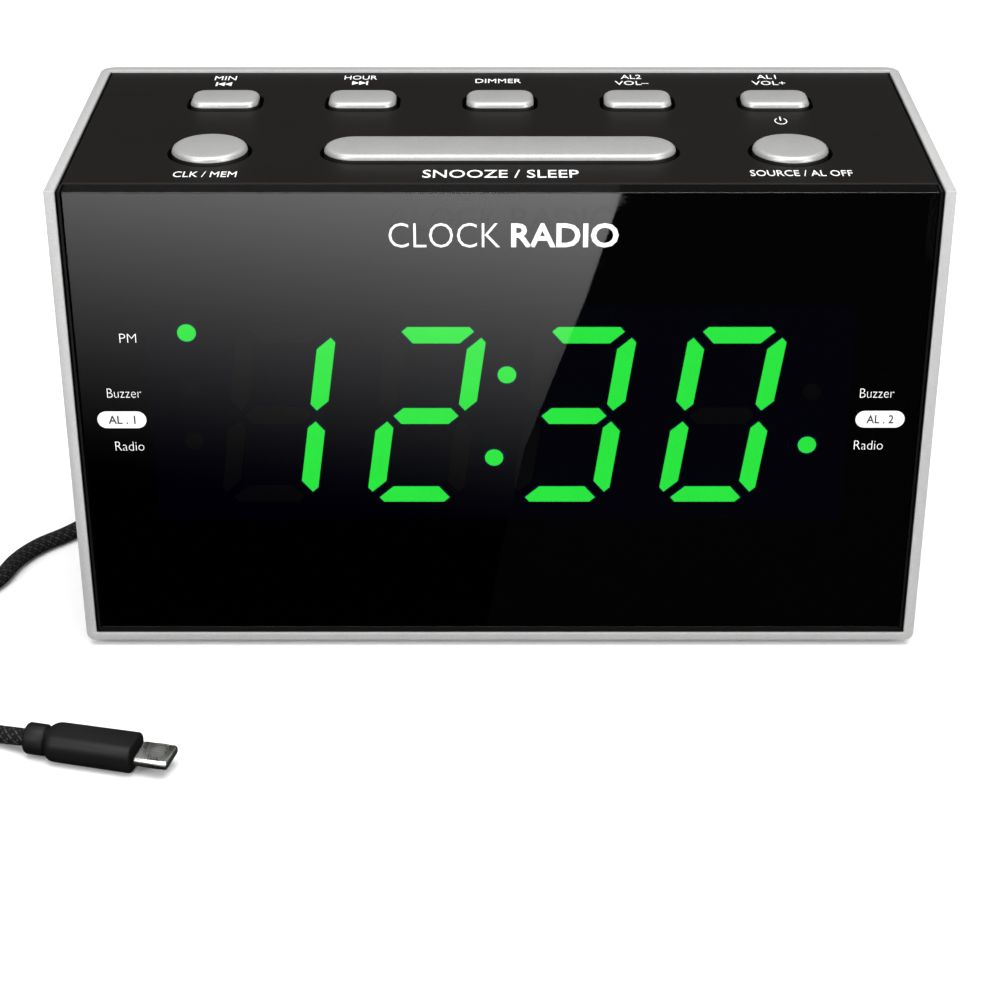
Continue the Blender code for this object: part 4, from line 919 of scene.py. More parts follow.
@dataclass
class Studio:
    """The floor, the soft lights, the card that the lens mirrors and the camera."""

    camera_y: float = -0.3605
    camera_z: float = 0.20636
    tilt_down: float = 28.39
    lens_mm: float = 83.58
    floor_half: float = 3.0
    card_depth: float = 0.02
    card_black_to: float = 0.0202
    card_lean: float = 0.15
    card_gain: float = 7.14
    card_curve: float = 2.2
    card_left: float = -0.09
    card_top: float = 0.085
    card_bottom: float = 0.004
    card_edge: tuple[tuple[float, float], ...] = (
        (0.0198, 0.085), (0.0132, 0.0629), (0.0039, 0.0369), (-0.0001, 0.0166), (-0.0022, 0.004),
    )
    lens_shine: float = 0.0323
    floor: Rgb = (0.9, 0.9, 0.9)
    sky: tuple[tuple[float, float], ...] = ((0.0, 0.004), (0.5, 0.1), (0.72, 0.13), (0.85, 0.8), (1.0, 1.0))
    sky_strength: float = 0.55

    def build(self) -> None:
        """Builds the whole studio."""
        bpy.context.scene.view_settings.view_transform = "Standard"
        self.place_camera()
        self.lay_floor()
        self.hang_sky()
        self.hang_lights()
        self.lay_card()

    def place_camera(self) -> None:
        """Stands the camera in front of the radio, looking down at it."""
        data = bpy.data.cameras.new("camera")
        data.lens = self.lens_mm
        data.sensor_width = 36.0
        data.clip_start = 0.01
        camera = bpy.data.objects.new("camera", data)
        camera.location = (0.0, self.camera_y, self.camera_z)
        camera.rotation_euler = (math.radians(90.0 - self.tilt_down), 0.0, 0.0)
        bpy.context.scene.collection.objects.link(camera)
        bpy.context.scene.camera = camera

    def staged(
        self, name: str, outline: Outline, height: float, paint: bpy.types.Material
    ) -> bpy.types.Object:
        """A flat stage piece.

        Args:
            name: Its name.
            outline: Its points.
            height: Its height.
            paint: Its material.

        Returns:
            The object.
        """
        mesh = bpy.data.meshes.new(name)
        mesh.from_pydata([(x, y, height) for x, y in outline], [], [tuple(range(len(outline)))])
        mesh.materials.append(paint)
        made = bpy.data.objects.new(name, mesh)
        bpy.context.scene.collection.objects.link(made)
        return made

    def lay_floor(self) -> None:
        """Lays the pale floor, which glossy surfaces don't mirror."""
        paint = Paint("pale_floor")
        grain = paint.noise(0.002, 3.0)
        paint.set(Base_Color=paint.mix(grain, shade(self.floor, 0.985), self.floor), Roughness=0.9)
        paint.set(Specular_IOR_Level=0.1)
        half = self.floor_half
        corners = [(-half, -half), (half, -half), (half, half), (-half, half)]
        floor = self.staged("floor", corners, 0.0, paint.material)
        floor.visible_glossy = False

    def hang_sky(self) -> None:
        """Surrounds the radio with a soft tent: bright overhead, dim at eye level and dark below."""
        world = bpy.data.worlds.new("tent")
        world.use_nodes = True
        nodes = Nodes(world.node_tree)
        shader = nodes.tree.nodes["Background"]
        place = nodes.add("ShaderNodeTexCoord", {}, {}).outputs["Generated"]
        height = nodes.add("ShaderNodeSeparateXYZ", {}, {0: place}).outputs["Z"]
        share = nodes.add("ShaderNodeMapRange", {}, {0: height, 1: -1.0}).outputs[0]
        stops = [(level, (grey,) * 3) for level, grey in self.sky]
        ramp = nodes.add("ShaderNodeValToRGB", {"stops": stops}, {0: share})
        nodes.feed(shader.inputs["Color"], ramp.outputs[0])
        shader.inputs["Strength"].default_value = self.sky_strength
        bpy.context.scene.world = world

    def hang_lights(self) -> None:
        """Hangs four soft boxes: overhead, from the left, from the right and a low one in front."""
        self.soft_box("overhead", (0.05, -0.15, 1.1), (0.0, 0.0, 0.0), (1.3, 1.0), 17.0)
        self.soft_box("front_left", (-0.8, -1.0, 0.75), (0.0, 0.0, 0.03), (0.8, 0.6), 9.0)
        self.soft_box("front_right", (1.0, -0.9, 0.6), (0.0, 0.0, 0.03), (0.7, 0.6), 9.6)
        self.soft_box("low_front", (0.0, -1.1, 0.22), (0.0, 0.0, 0.06), (1.6, 0.25), 1.9)

    def soft_box(
        self, name: str, place: Point, target: Point, size: tuple[float, float], power: float
    ) -> None:
        """Hangs one soft box.

        Args:
            name: Its name.
            place: Where it hangs.
            target: The point that it faces.
            size: Its width and height.
            power: Its power in watts.
        """
        data = bpy.data.lights.new(name, "AREA")
        data.shape = "RECTANGLE"
        data.size, data.size_y = size
        data.energy = power
        light = bpy.data.objects.new(name, data)
        light.location = place
        light.rotation_euler = (Vector(target) - Vector(place)).to_track_quat("-Z", "Y").to_euler()
        bpy.context.scene.collection.objects.link(light)

    def lay_card(self) -> None:
        """Lays the card that only the gloss of the lens shows.

        It lies under the floor, where the lens mirrors it towards the front. Its mirror image goes from
        black low on the lens to pale at the top, and ends in one clean slanted edge that bows a little.
        """
        lens_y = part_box("display_lens")[0].y
        far = 2.0 * lens_y - self.camera_y
        drop = self.camera_z + self.card_depth
        paint = Paint("mirrored_card")
        x, y, _ = paint.axes()
        reach = (far - lens_y) / (far - y)
        height = self.camera_z - drop * reach
        across = x * reach
        black_to = self.card_black_to - across * self.card_lean
        tone = ((height - black_to) * self.card_gain).held() ** self.card_curve
        black, white = (0.0, 0.0, 0.0), (1.0, 1.0, 1.0)
        paint.set(Base_Color=black, Roughness=1.0, Specular_IOR_Level=0.0)
        paint.set(Emission_Color=paint.mix(tone, black, white), Emission_Strength=1.0 / self.lens_shine)

        def mirrored(lens_x: float, lens_z: float) -> tuple[float, float]:
            """Where the card shows at a point of the lens."""
            factor = drop / (self.camera_z - lens_z)
            return lens_x * factor, far - (far - lens_y) * factor

        left_edge = ((self.card_left, self.card_bottom), (self.card_left, self.card_top))
        outline = [mirrored(*point) for point in (*self.card_edge, *left_edge)]
        card = self.staged("mirrored_card", outline, -self.card_depth, paint.material)
        card.visible_camera = False
        card.visible_diffuse = False
        card.visible_transmission = False
        card.visible_shadow = False


# ---------------------------------------------------------------- charging cord


@dataclass
class ChargingCord:
    """The plugged-in cord: plug, braided cord with its spare turns coiled and tied, and connector."""

    MAP = "braid_map"
    diameter: float = 0.0028
    length: float = 1.0
    sides: int = 12
    ring_step: float = 0.0011
    coil_centre: tuple[float, float] = (-0.109, -0.0355)
    coil_radius: float = 0.0154
    coil_start: float = math.radians(84.0)
    coil_sweep: float = math.radians(7 * 360.0 + 186.0)
    coil_steps: int = 160
    exit: Point = (-0.0400, 0.05765, 0.01385)
    route_near: tuple[Point, ...] = (
        (-0.0400, 0.0635, 0.0134), (-0.0410, 0.0700, 0.0112), (-0.0440, 0.0755, 0.0074),
        (-0.0495, 0.0785, 0.0036), (-0.0565, 0.0770, 0.0017), (-0.0635, 0.0695, 0.00145),
        (-0.0685, 0.0580, 0.00145),
        (-0.0715, 0.0450, 0.00145), (-0.0720, 0.0320, 0.00145), (-0.0720, 0.0205, 0.00145),
        (-0.0736, 0.0124, 0.00145), (-0.0778, 0.0063, 0.00145), (-0.0826, 0.0014, 0.00145),
        (-0.0857, -0.0040, 0.00145), (-0.0876, -0.0105, 0.00145), (-0.0908, -0.0150, 0.00145),
        (-0.0965, -0.0172, 0.00145),
    )
    route_far: tuple[Point, ...] = (
        (-0.0965, -0.0540, 0.0056), (-0.0905, -0.0546, 0.0036), (-0.0850, -0.0559, 0.0020),
        (-0.0808, -0.0576, 0.0015), (-0.0781, -0.0589, 0.0018), (-0.0757, -0.0601, 0.0023),
    )
    tail: Point = (-0.0734, -0.0610, 0.0026)
    heading: float = math.radians(-13.5)
    collar: tuple[float, float] = (0.0036, 0.0025)
    grip: Point = (0.0145, 0.0068, 0.0047)
    tongue: Point = (0.0055, 0.0054, 0.0015)
    fit: float = 0.0003
    tie_pinch: float = 0.16
    plug_body: float = 0.018
    boot_lap: float = 0.001
    boot_radii: tuple[float, float] = (0.0034, 0.0021)
    boot_ribs: int = 5
    boot_groove: float = 0.86
    grip_lines: int = 5
    grip_start: float = 0.005
    grip_pitch: float = 0.0016
    contacts: int = 8
    contact_pitch: float = 0.0006
    contact_reach: tuple[float, float] = (0.0022, 0.0043)
    sleeve_black: Rgb = (0.0045, 0.0045, 0.005)
    sleeve_fleck: Rgb = (0.07, 0.07, 0.075)
    strands: int = 20

    def build(self) -> None:
        path = self.centreline()
        plug = [self.build_plug(), self.build_plug_shell()]
        pieces = [*plug, self.build_connector(), self.build_tip(), self.build_tie()]
        cord = self.build_tube(path)
        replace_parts(cord, "charge_cord_near", "charge_cord_coil", "charge_cord_far")

    def coil_points(self) -> list[Vector]:
        """The coiled length: three layers of turns, laid outside in, inside out, then outward again."""
        slots = [(1, -1), (0, -1), (-1, -1), (-1, 0), (0, 0), (1, 0), (0, 1), (1, 1), (1, 1)]
        pitch = self.diameter
        points = []
        for step in range(self.coil_steps + 1):
            swept = self.coil_sweep * step / self.coil_steps
            turns = swept / math.tau
            index = min(int(turns), len(slots) - 2)
            share = min(max((turns - index - 0.78) / 0.22, 0.0), 1.0)
            ease = share * share * (3.0 - 2.0 * share)
            column = slots[index][0] + (slots[index + 1][0] - slots[index][0]) * ease
            layer = slots[index][1] + (slots[index + 1][1] - slots[index][1]) * ease
            angle = self.coil_start + swept
            from_tie = math.remainder(angle - math.pi, math.tau)
            pinch = 1.0 - self.tie_pinch * math.exp(-((from_tie / 0.3) ** 2))
            radius = self.coil_radius + column * pitch * pinch
            points.append(
                Vector((
                    self.coil_centre[0] + radius * math.cos(angle),
                    self.coil_centre[1] + radius * math.sin(angle),
                    1.5 * pitch + layer * pitch * pinch,
                ))
            )
        return points

    def centreline(self) -> list[Vector]:
        """The whole cord as one smooth line, a ring step apart."""
        along = Vector((math.cos(self.heading), math.sin(self.heading), 0.0))
        start = Vector(self.exit) + Vector((0.0, -0.002, 0.0))
        end = Vector(self.tail) + 0.001 * along
        route = [start, *map(Vector, self.route_near), *self.coil_points(), *map(Vector, self.route_far), end]
        return self.evenly(self.smooth(route), self.ring_step)

    @staticmethod
    def smooth(route: Sequence[Vector], pieces: int = 8) -> list[Vector]:
        """A Catmull-Rom curve through a route's points.

        Args:
            route: The points.
            pieces: Steps between neighbours.

        Returns:
            The curve's points.
        """
        ends = [2 * route[0] - route[1], *route, 2 * route[-1] - route[-2]]
        found = []
        for a, b, c, d in zip(ends, ends[1:], ends[2:], ends[3:]):
            square = 2 * a - 5 * b + 4 * c - d
            cube = 3 * b - a - 3 * c + d
            for number in range(pieces):
                t = number / pieces
                found.append(0.5 * (2 * b + (c - a) * t + square * t**2 + cube * t**3))
        return [*found, route[-1].copy()]

    @staticmethod
    def evenly(points: Sequence[Vector], step: float) -> list[Vector]:
        """Points an equal step apart along a line.

        Args:
            points: The line's points.
            step: The step, in metres.

        Returns:
            The new points, both ends included.
        """
        total = sum((b - a).length for a, b in zip(points, points[1:]))
        count = max(2, round(total / step))
        found, walked = [points[0].copy()], 0.0
        for a, b in zip(points, points[1:]):
            length = (b - a).length
            while len(found) < count and walked + length >= len(found) * total / count:
                found.append(a.lerp(b, (len(found) * total / count - walked) / length))
            walked += length
        return [*found, points[-1].copy()]

    def build_tube(self, path: Sequence[Vector]) -> bpy.types.Object:
        """The cord as a round tube with its braid mapped along and round it.

        Args:
            path: The centreline.

        Returns:
            The cord's piece.
        """
        bm = bmesh.new()
        braid = bm.loops.layers.uv.new(self.MAP)
        side = Vector((0.0, 0.0, 1.0))
        rings, runs, run = [], [], 0.0
        for i, point in enumerate(path):
            tangent = (path[min(i + 1, len(path) - 1)] - path[max(i - 1, 0)]).normalized()
            side = (side - side.dot(tangent) * tangent).normalized()
            other = tangent.cross(side)
            turns = [math.tau * j / self.sides for j in range(self.sides)]
            radius = self.diameter / 2
            spokes = [radius * (math.cos(a) * side + math.sin(a) * other) for a in turns]
            rings.append([bm.verts.new(point + spoke) for spoke in spokes])
            run += (point - path[i - 1]).length if i else 0.0
            runs.append(run)
        for i, (first, second) in enumerate(zip(rings, rings[1:])):
            for j in range(self.sides):
                k = (j + 1) % self.sides
                face = bm.faces.new((first[j], first[k], second[k], second[j]))
                spots = ((i, j), (i, j + 1), (i + 1, j + 1), (i + 1, j))
                for loop, (ring, turn) in zip(face.loops, spots):
                    loop[braid].uv = (runs[ring], turn / self.sides)
        bm.faces.new(rings[0][::-1])
        bm.faces.new(rings[-1])
        sleeve = BraidedSleeve(
            "braided_cord", self.sleeve_black, self.sleeve_fleck, self.strands, self.diameter
        )
        return piece("braided_cord", bm, sleeve, smooth=60.0)

    def build_plug(self) -> bpy.types.Object:
        """The plug's grip: a soft-edged block with grip lines, and a ribbed boot that tapers to the cord."""
        low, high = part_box("usb_plug")
        middle = (low + high) / 2
        place = Matrix.Translation((middle.x, low.y, middle.z)) @ Matrix.Rotation(-math.pi / 2, 4, "X")
        bm = bmesh.new()
        body = softened_ends(0.0, self.plug_body, high.x - low.x, high.z - low.z, 0.0016, 0.0008)
        add_loft(bm, body, place, 5)
        boot_start, boot_end = self.plug_body - self.boot_lap, high.y - low.y
        thick, thin = self.boot_radii
        steps, sections = self.boot_ribs * 4, []
        for number in range(steps + 1):
            share = number / steps
            along = boot_start + (boot_end - self.plug_body + self.boot_lap) * share
            radius = (thick + (thin - thick) * share) * (1.0 if number % 4 in (1, 2) else self.boot_groove)
            sections.append(Section(along, radius, radius, radius))
        add_loft(bm, sections, place, 6)
        half_x, half_z = (high.x - low.x) / 2, (high.z - low.z) / 2
        for number in range(self.grip_lines):
            along = self.grip_start + number * self.grip_pitch
            for side in (-1, 1):
                rib = [Section(along + d, half_x * 0.62, 0.0002, 0.0002) for d in (-0.0004, 0.0004)]
                add_loft(bm, rib, place @ Matrix.Translation((0.0, side * (half_z - 0.0002), 0.0)), 2)
        made = piece("plug_grip", bm, Finish.OVERMOULD)
        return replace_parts(made, "usb_plug")

    def build_plug_shell(self) -> bpy.types.Object:
        """The plug's metal shell, folded from sheet, with the insulator inside it."""
        low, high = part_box("usb_plug_shell")
        middle = (low + high) / 2
        length = high.y - low.y
        place = Matrix.Translation((middle.x, low.y, middle.z)) @ Matrix.Rotation(-math.pi / 2, 4, "X")
        half_x, half_z, wall = (high.x - low.x) / 2, (high.z - low.z) / 2, 0.0003
        bm = bmesh.new()
        outer = [Section(a, half_x, half_z, 0.0004) for a in (0.0, length)]
        inner = [Section(a, half_x - wall, half_z - wall, 0.0003) for a in (length, 0.0)]
        add_sleeve(bm, [*outer, *inner], place, 2)
        insulator = [Section(a, half_x - 2 * wall, 0.0008, 0.0001) for a in (0.0006, length - 0.0003)]
        add_loft(bm, insulator, place @ Matrix.Translation((0.0, 0.0011, 0.0)), 1)
        made = piece("plug_shell", bm, Finish.STEEL)
        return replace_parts(made, "usb_plug_shell")

    def connector_frame(self) -> Matrix:
        """The connector's frame, with Z along it from its collar's start."""
        lying = Matrix.Rotation(self.heading, 4, "Z") @ Matrix.Rotation(math.pi / 2, 4, "Y")
        return Matrix.Translation(self.tail) @ lying @ Matrix.Rotation(math.pi / 2, 4, "Z")

    def build_connector(self) -> bpy.types.Object:
        """The connector's grip: a round collar, a fine groove and a soft-edged flat body."""
        collar, radius = self.collar
        length, width, height = self.grip
        ease = 0.0005
        bm = bmesh.new()
        near_end = [(0.0, radius - ease), (ease * 0.4, radius - ease * 0.3), (ease, radius)]
        far_end = [(collar - along, reach) for along, reach in reversed(near_end)]
        profile = [*near_end, *far_end, (collar + 2 * ease, radius - 1.2 * ease)]
        add_loft(bm, [Section(a, r, r, r) for a, r in profile], self.connector_frame(), 6)
        shoulder = 0.0018
        sections = []
        for turn in range(0, 91, 15):
            inset = shoulder * (1.0 - math.sin(math.radians(turn)))
            along = collar + shoulder * (1.0 - math.cos(math.radians(turn)))
            half_height = height / 2 - inset * 0.35
            sections.append(Section(along, width / 2 - inset, half_height, 0.0019 - inset * 0.4))
        end = softened_ends(collar, collar + length, width, height, 0.0017, 0.0005)
        sections += end[len(end) // 2:]
        add_loft(bm, sections, self.connector_frame(), 6)
        made = piece("connector_grip", bm, Finish.OVERMOULD)
        made.visible_glossy = False
        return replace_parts(made, "charge_connector")

    def build_tip(self) -> bpy.types.Object:
        """The connector's metal tongue, with a rounded nose and a row of contacts on each face."""
        start = self.collar[0] + self.grip[0] + self.fit
        length, width, height = self.tongue
        bm = bmesh.new()
        tongue = softened_ends(start, start + length, width, height, 0.0006, 0.0004)
        add_loft(bm, tongue, self.connector_frame(), 4)
        for number in range(self.contacts):
            across = (number - (self.contacts - 1) / 2) * self.contact_pitch
            for side in (-1, 1):
                pad = [Section(start + reach, 0.00019, 0.00003, 0.00001) for reach in self.contact_reach]
                spot = Matrix.Translation((across, side * (height / 2 + 0.00002), 0.0))
                add_loft(bm, pad, self.connector_frame() @ spot, 1)
        made = piece("connector_tongue", bm, Finish.STEEL)
        made.visible_glossy = False
        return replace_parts(made, "connector_tip")

    def build_tie(self) -> bpy.types.Object:
        """The strap round the coil: a soft band with rounded corners."""
        low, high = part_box("cord_tie")
        middle, half = (low + high) / 2, (high - low) / 2
        place = Matrix.Translation((middle.x, low.y, middle.z)) @ Matrix.Rotation(-math.pi / 2, 4, "X")
        width, wall = high.y - low.y, 0.0004
        bm = bmesh.new()
        edge = 0.00012
        ends = ((0.0, edge, 0.0012), (edge, 0.0, 0.0013), (width - edge, 0.0, 0.0013), (width, edge, 0.0012))
        outer = [Section(a, half.x - inset, half.z - inset, corner) for a, inset, corner in ends]
        inner = [Section(a, half.x - wall, half.z - wall, 0.001) for a in (width, 0.0)]
        add_sleeve(bm, [*outer, *inner], place, 4)
        made = piece("cord_strap", bm, Finish.RUBBER)
        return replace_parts(made, "cord_tie")


# ---------------------------------------------------------------- lettering


class Side(Enum):
    """The faces that carry legends."""

    TOP = "top"
    FRONT = "front"


@dataclass(frozen=True)
class Legend:
    """Printed words: where their middle lies on the face, and how wide and tall they are."""

    words: str
    centre: tuple[float, float]
    size: tuple[float, float]
    weight: float = 0.0

    def add_to(self, bm: bmesh.types.BMesh, place: Matrix, low: float, high: float) -> None:
        """Adds the words as thin raised ink.

        Args:
            bm: The bmesh to add to.
            place: The face's frame: X along, Y up the words and Z out.
            low: The ink's underside, from the face.
            high: The ink's top.
        """
        curve = bpy.data.curves.new("words", "FONT")
        curve.body = self.words
        curve.offset = self.weight
        curve.extrude = 0.5
        curve.resolution_u = 3
        setting = bpy.data.objects.new("words", curve)
        bpy.context.scene.collection.objects.link(setting)
        bpy.context.view_layer.update()
        mesh = bpy.data.meshes.new_from_object(setting.evaluated_get(bpy.context.evaluated_depsgraph_get()))
        bpy.data.objects.remove(setting)
        bpy.data.curves.remove(curve)
        spots = [vertex.co for vertex in mesh.vertices]
        lows = [min(spot[axis] for spot in spots) for axis in range(2)]
        highs = [max(spot[axis] for spot in spots) for axis in range(2)]
        scale = [size / (b - a) for size, a, b in zip(self.size, lows, highs)]
        for vertex in mesh.vertices:
            x, y, z = vertex.co
            flat = [
                self.centre[axis] + (spot - (lows[axis] + highs[axis]) / 2) * scale[axis]
                for axis, spot in enumerate((x, y))
            ]
            vertex.co = place @ Vector((*flat, high if z > 0 else low))
        bm.from_mesh(mesh)
        bpy.data.meshes.remove(mesh)


def face_frame(side: Side) -> Matrix:
    """The frame of a face that carries legends: X along the words, Y up them, Z out.

    Args:
        side: The face.

    Returns:
        Its frame.
    """
    if side is Side.TOP:
        return Matrix.Translation((0.0, 0.0, top_height()))
    lens_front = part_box("display_lens")[0].y
    return Matrix.Translation((0.0, lens_front, 0.0)) @ Matrix.Rotation(math.pi / 2, 4, "X")


def top_height() -> float:
    """The height of the top panel's face."""
    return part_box("top_panel")[1].z


# ---------------------------------------------------------------- top of the radio


@dataclass
class TopDeck:
    """The black panel, its eight keys and their printed legends."""

    legends: tuple[Legend, ...] = (
        Legend("MIN", (-0.0471, 0.0250), (0.0037, 0.0021)),
        Legend("HOUR", (-0.0239, 0.0253), (0.0056, 0.0021)),
        Legend("DIMMER", (-0.0003, 0.0235), (0.0078, 0.0022)),
        Legend("AL2", (0.0225, 0.0257), (0.0035, 0.0021)),
        Legend("VOL\u2013", (0.0225, 0.0224), (0.0057, 0.0021)),
        Legend("AL1", (0.0458, 0.0257), (0.0033, 0.0021)),
        Legend("VOL+", (0.0459, 0.0224), (0.0057, 0.0021)),
        Legend("CLK / MEM", (-0.0455, -0.0219), (0.0098, 0.0024)),
        Legend("SNOOZE / SLEEP", (0.0001, -0.0217), (0.0241, 0.0034), 0.004),
        Legend("SOURCE / AL OFF", (0.0465, -0.0214), (0.0158, 0.0025)),
    )
    # How far above the panel's face the keys' painted shade reaches.
    painted_shade_height: float = 0.00035
    skip_back: tuple[float, float] = (-0.0471, 0.0218)
    skip_forward: tuple[float, float] = (-0.0239, 0.0224)
    power: tuple[float, float] = (0.0459, 0.0028)

    def build(self) -> None:
        """Dresses the panel and the keys, and prints the legends."""
        dress("top_panel", Finish.PANEL)
        cap = ShadedKeyPaint("silver_key", (0.43, 0.43, 0.425), 0.42, 0.36, painted_shade_top=top_height() + self.painted_shade_height)
        for name in KEY_NAMES:
            dress(f"{name}_key", cap, 50.0)
            dress(f"{name}_plunger", Finish.INNER)
        self.print_legends()

    def print_legends(self) -> None:
        """Prints the words and symbols in white on the panel."""
        bm = bmesh.new()
        place = face_frame(Side.TOP)
        low, high = -0.5 * INK_THICKNESS, INK_THICKNESS
        for legend in self.legends:
            legend.add_to(bm, place, low, high)
        self.add_skip(bm, place, self.skip_back, -1)
        self.add_skip(bm, place, self.skip_forward, 1)
        self.add_power(bm, place)
        piece("top_legends", bm, Finish.WHITE_INK)

    def add_skip(self, bm: bmesh.types.BMesh, place: Matrix, centre: tuple[float, float], way: int) -> None:
        """Adds a skip symbol: two triangles and a bar.

        Args:
            bm: The bmesh to add to.
            place: The panel's frame.
            centre: The symbol's middle.
            way: 1 to point right, -1 to point left.
        """
        long, tall, bar = 0.0012, 0.001, 0.0003
        for start in (-long - bar / 2, -bar / 2):
            triangle = [(start, -tall), (start + long, 0.0), (start, tall)]
            self.add_symbol(bm, place, centre, triangle, way)
        start = long - bar / 2
        stroke = [(start, -tall), (start + bar, -tall), (start + bar, tall), (start, tall)]
        self.add_symbol(bm, place, centre, stroke, way)

    @staticmethod
    def add_symbol(
        bm: bmesh.types.BMesh, place: Matrix, centre: tuple[float, float], outline: Outline, way: int = 1
    ) -> None:
        """Adds one printed outline, mirrored if it points left."""
        points = [(centre[0] + way * x, centre[1] + y) for x, y in outline]
        add_plate(bm, points if way > 0 else points[::-1], -0.5 * INK_THICKNESS, INK_THICKNESS, place)

    def add_power(self, bm: bmesh.types.BMesh, place: Matrix) -> None:
        """Adds the power symbol: an open ring with a stroke in its gap.

        Args:
            bm: The bmesh to add to.
            place: The panel's frame.
        """
        outer, inner = 0.0011, 0.00092
        stretch = 1.45
        ring = arc((0.0, 0.0), outer, 125, 415, 18) + arc((0.0, 0.0), inner, 415, 125, 18)
        self.add_symbol(bm, place, self.power, [(x * 0.95, y * stretch) for x, y in ring])
        half, low, high = 0.00011, 0.0002, 0.0021
        stroke = [(-half, low), (half, low), (half, high), (-half, high)]
        self.add_symbol(bm, place, self.power, stroke)


# ---------------------------------------------------------------- front of the radio


class Bar(Enum):
    """The seven bars of a digit: (level, side), where side 0 is a level bar."""

    TOP = (1, 0)
    UPPER_RIGHT = (1, 1)
    UPPER_LEFT = (1, -1)
    MIDDLE = (0, 0)
    LOWER_RIGHT = (-1, 1)
    LOWER_LEFT = (-1, -1)
    BOTTOM = (-1, 0)


LIT_BARS: dict[str, frozenset[Bar]] = {
    "1": frozenset({Bar.UPPER_RIGHT, Bar.LOWER_RIGHT}),
    "2": frozenset({Bar.TOP, Bar.UPPER_RIGHT, Bar.MIDDLE, Bar.LOWER_LEFT, Bar.BOTTOM}),
    "3": frozenset({Bar.TOP, Bar.UPPER_RIGHT, Bar.MIDDLE, Bar.LOWER_RIGHT, Bar.BOTTOM}),
    "0": frozenset(set(Bar) - {Bar.MIDDLE}),
}


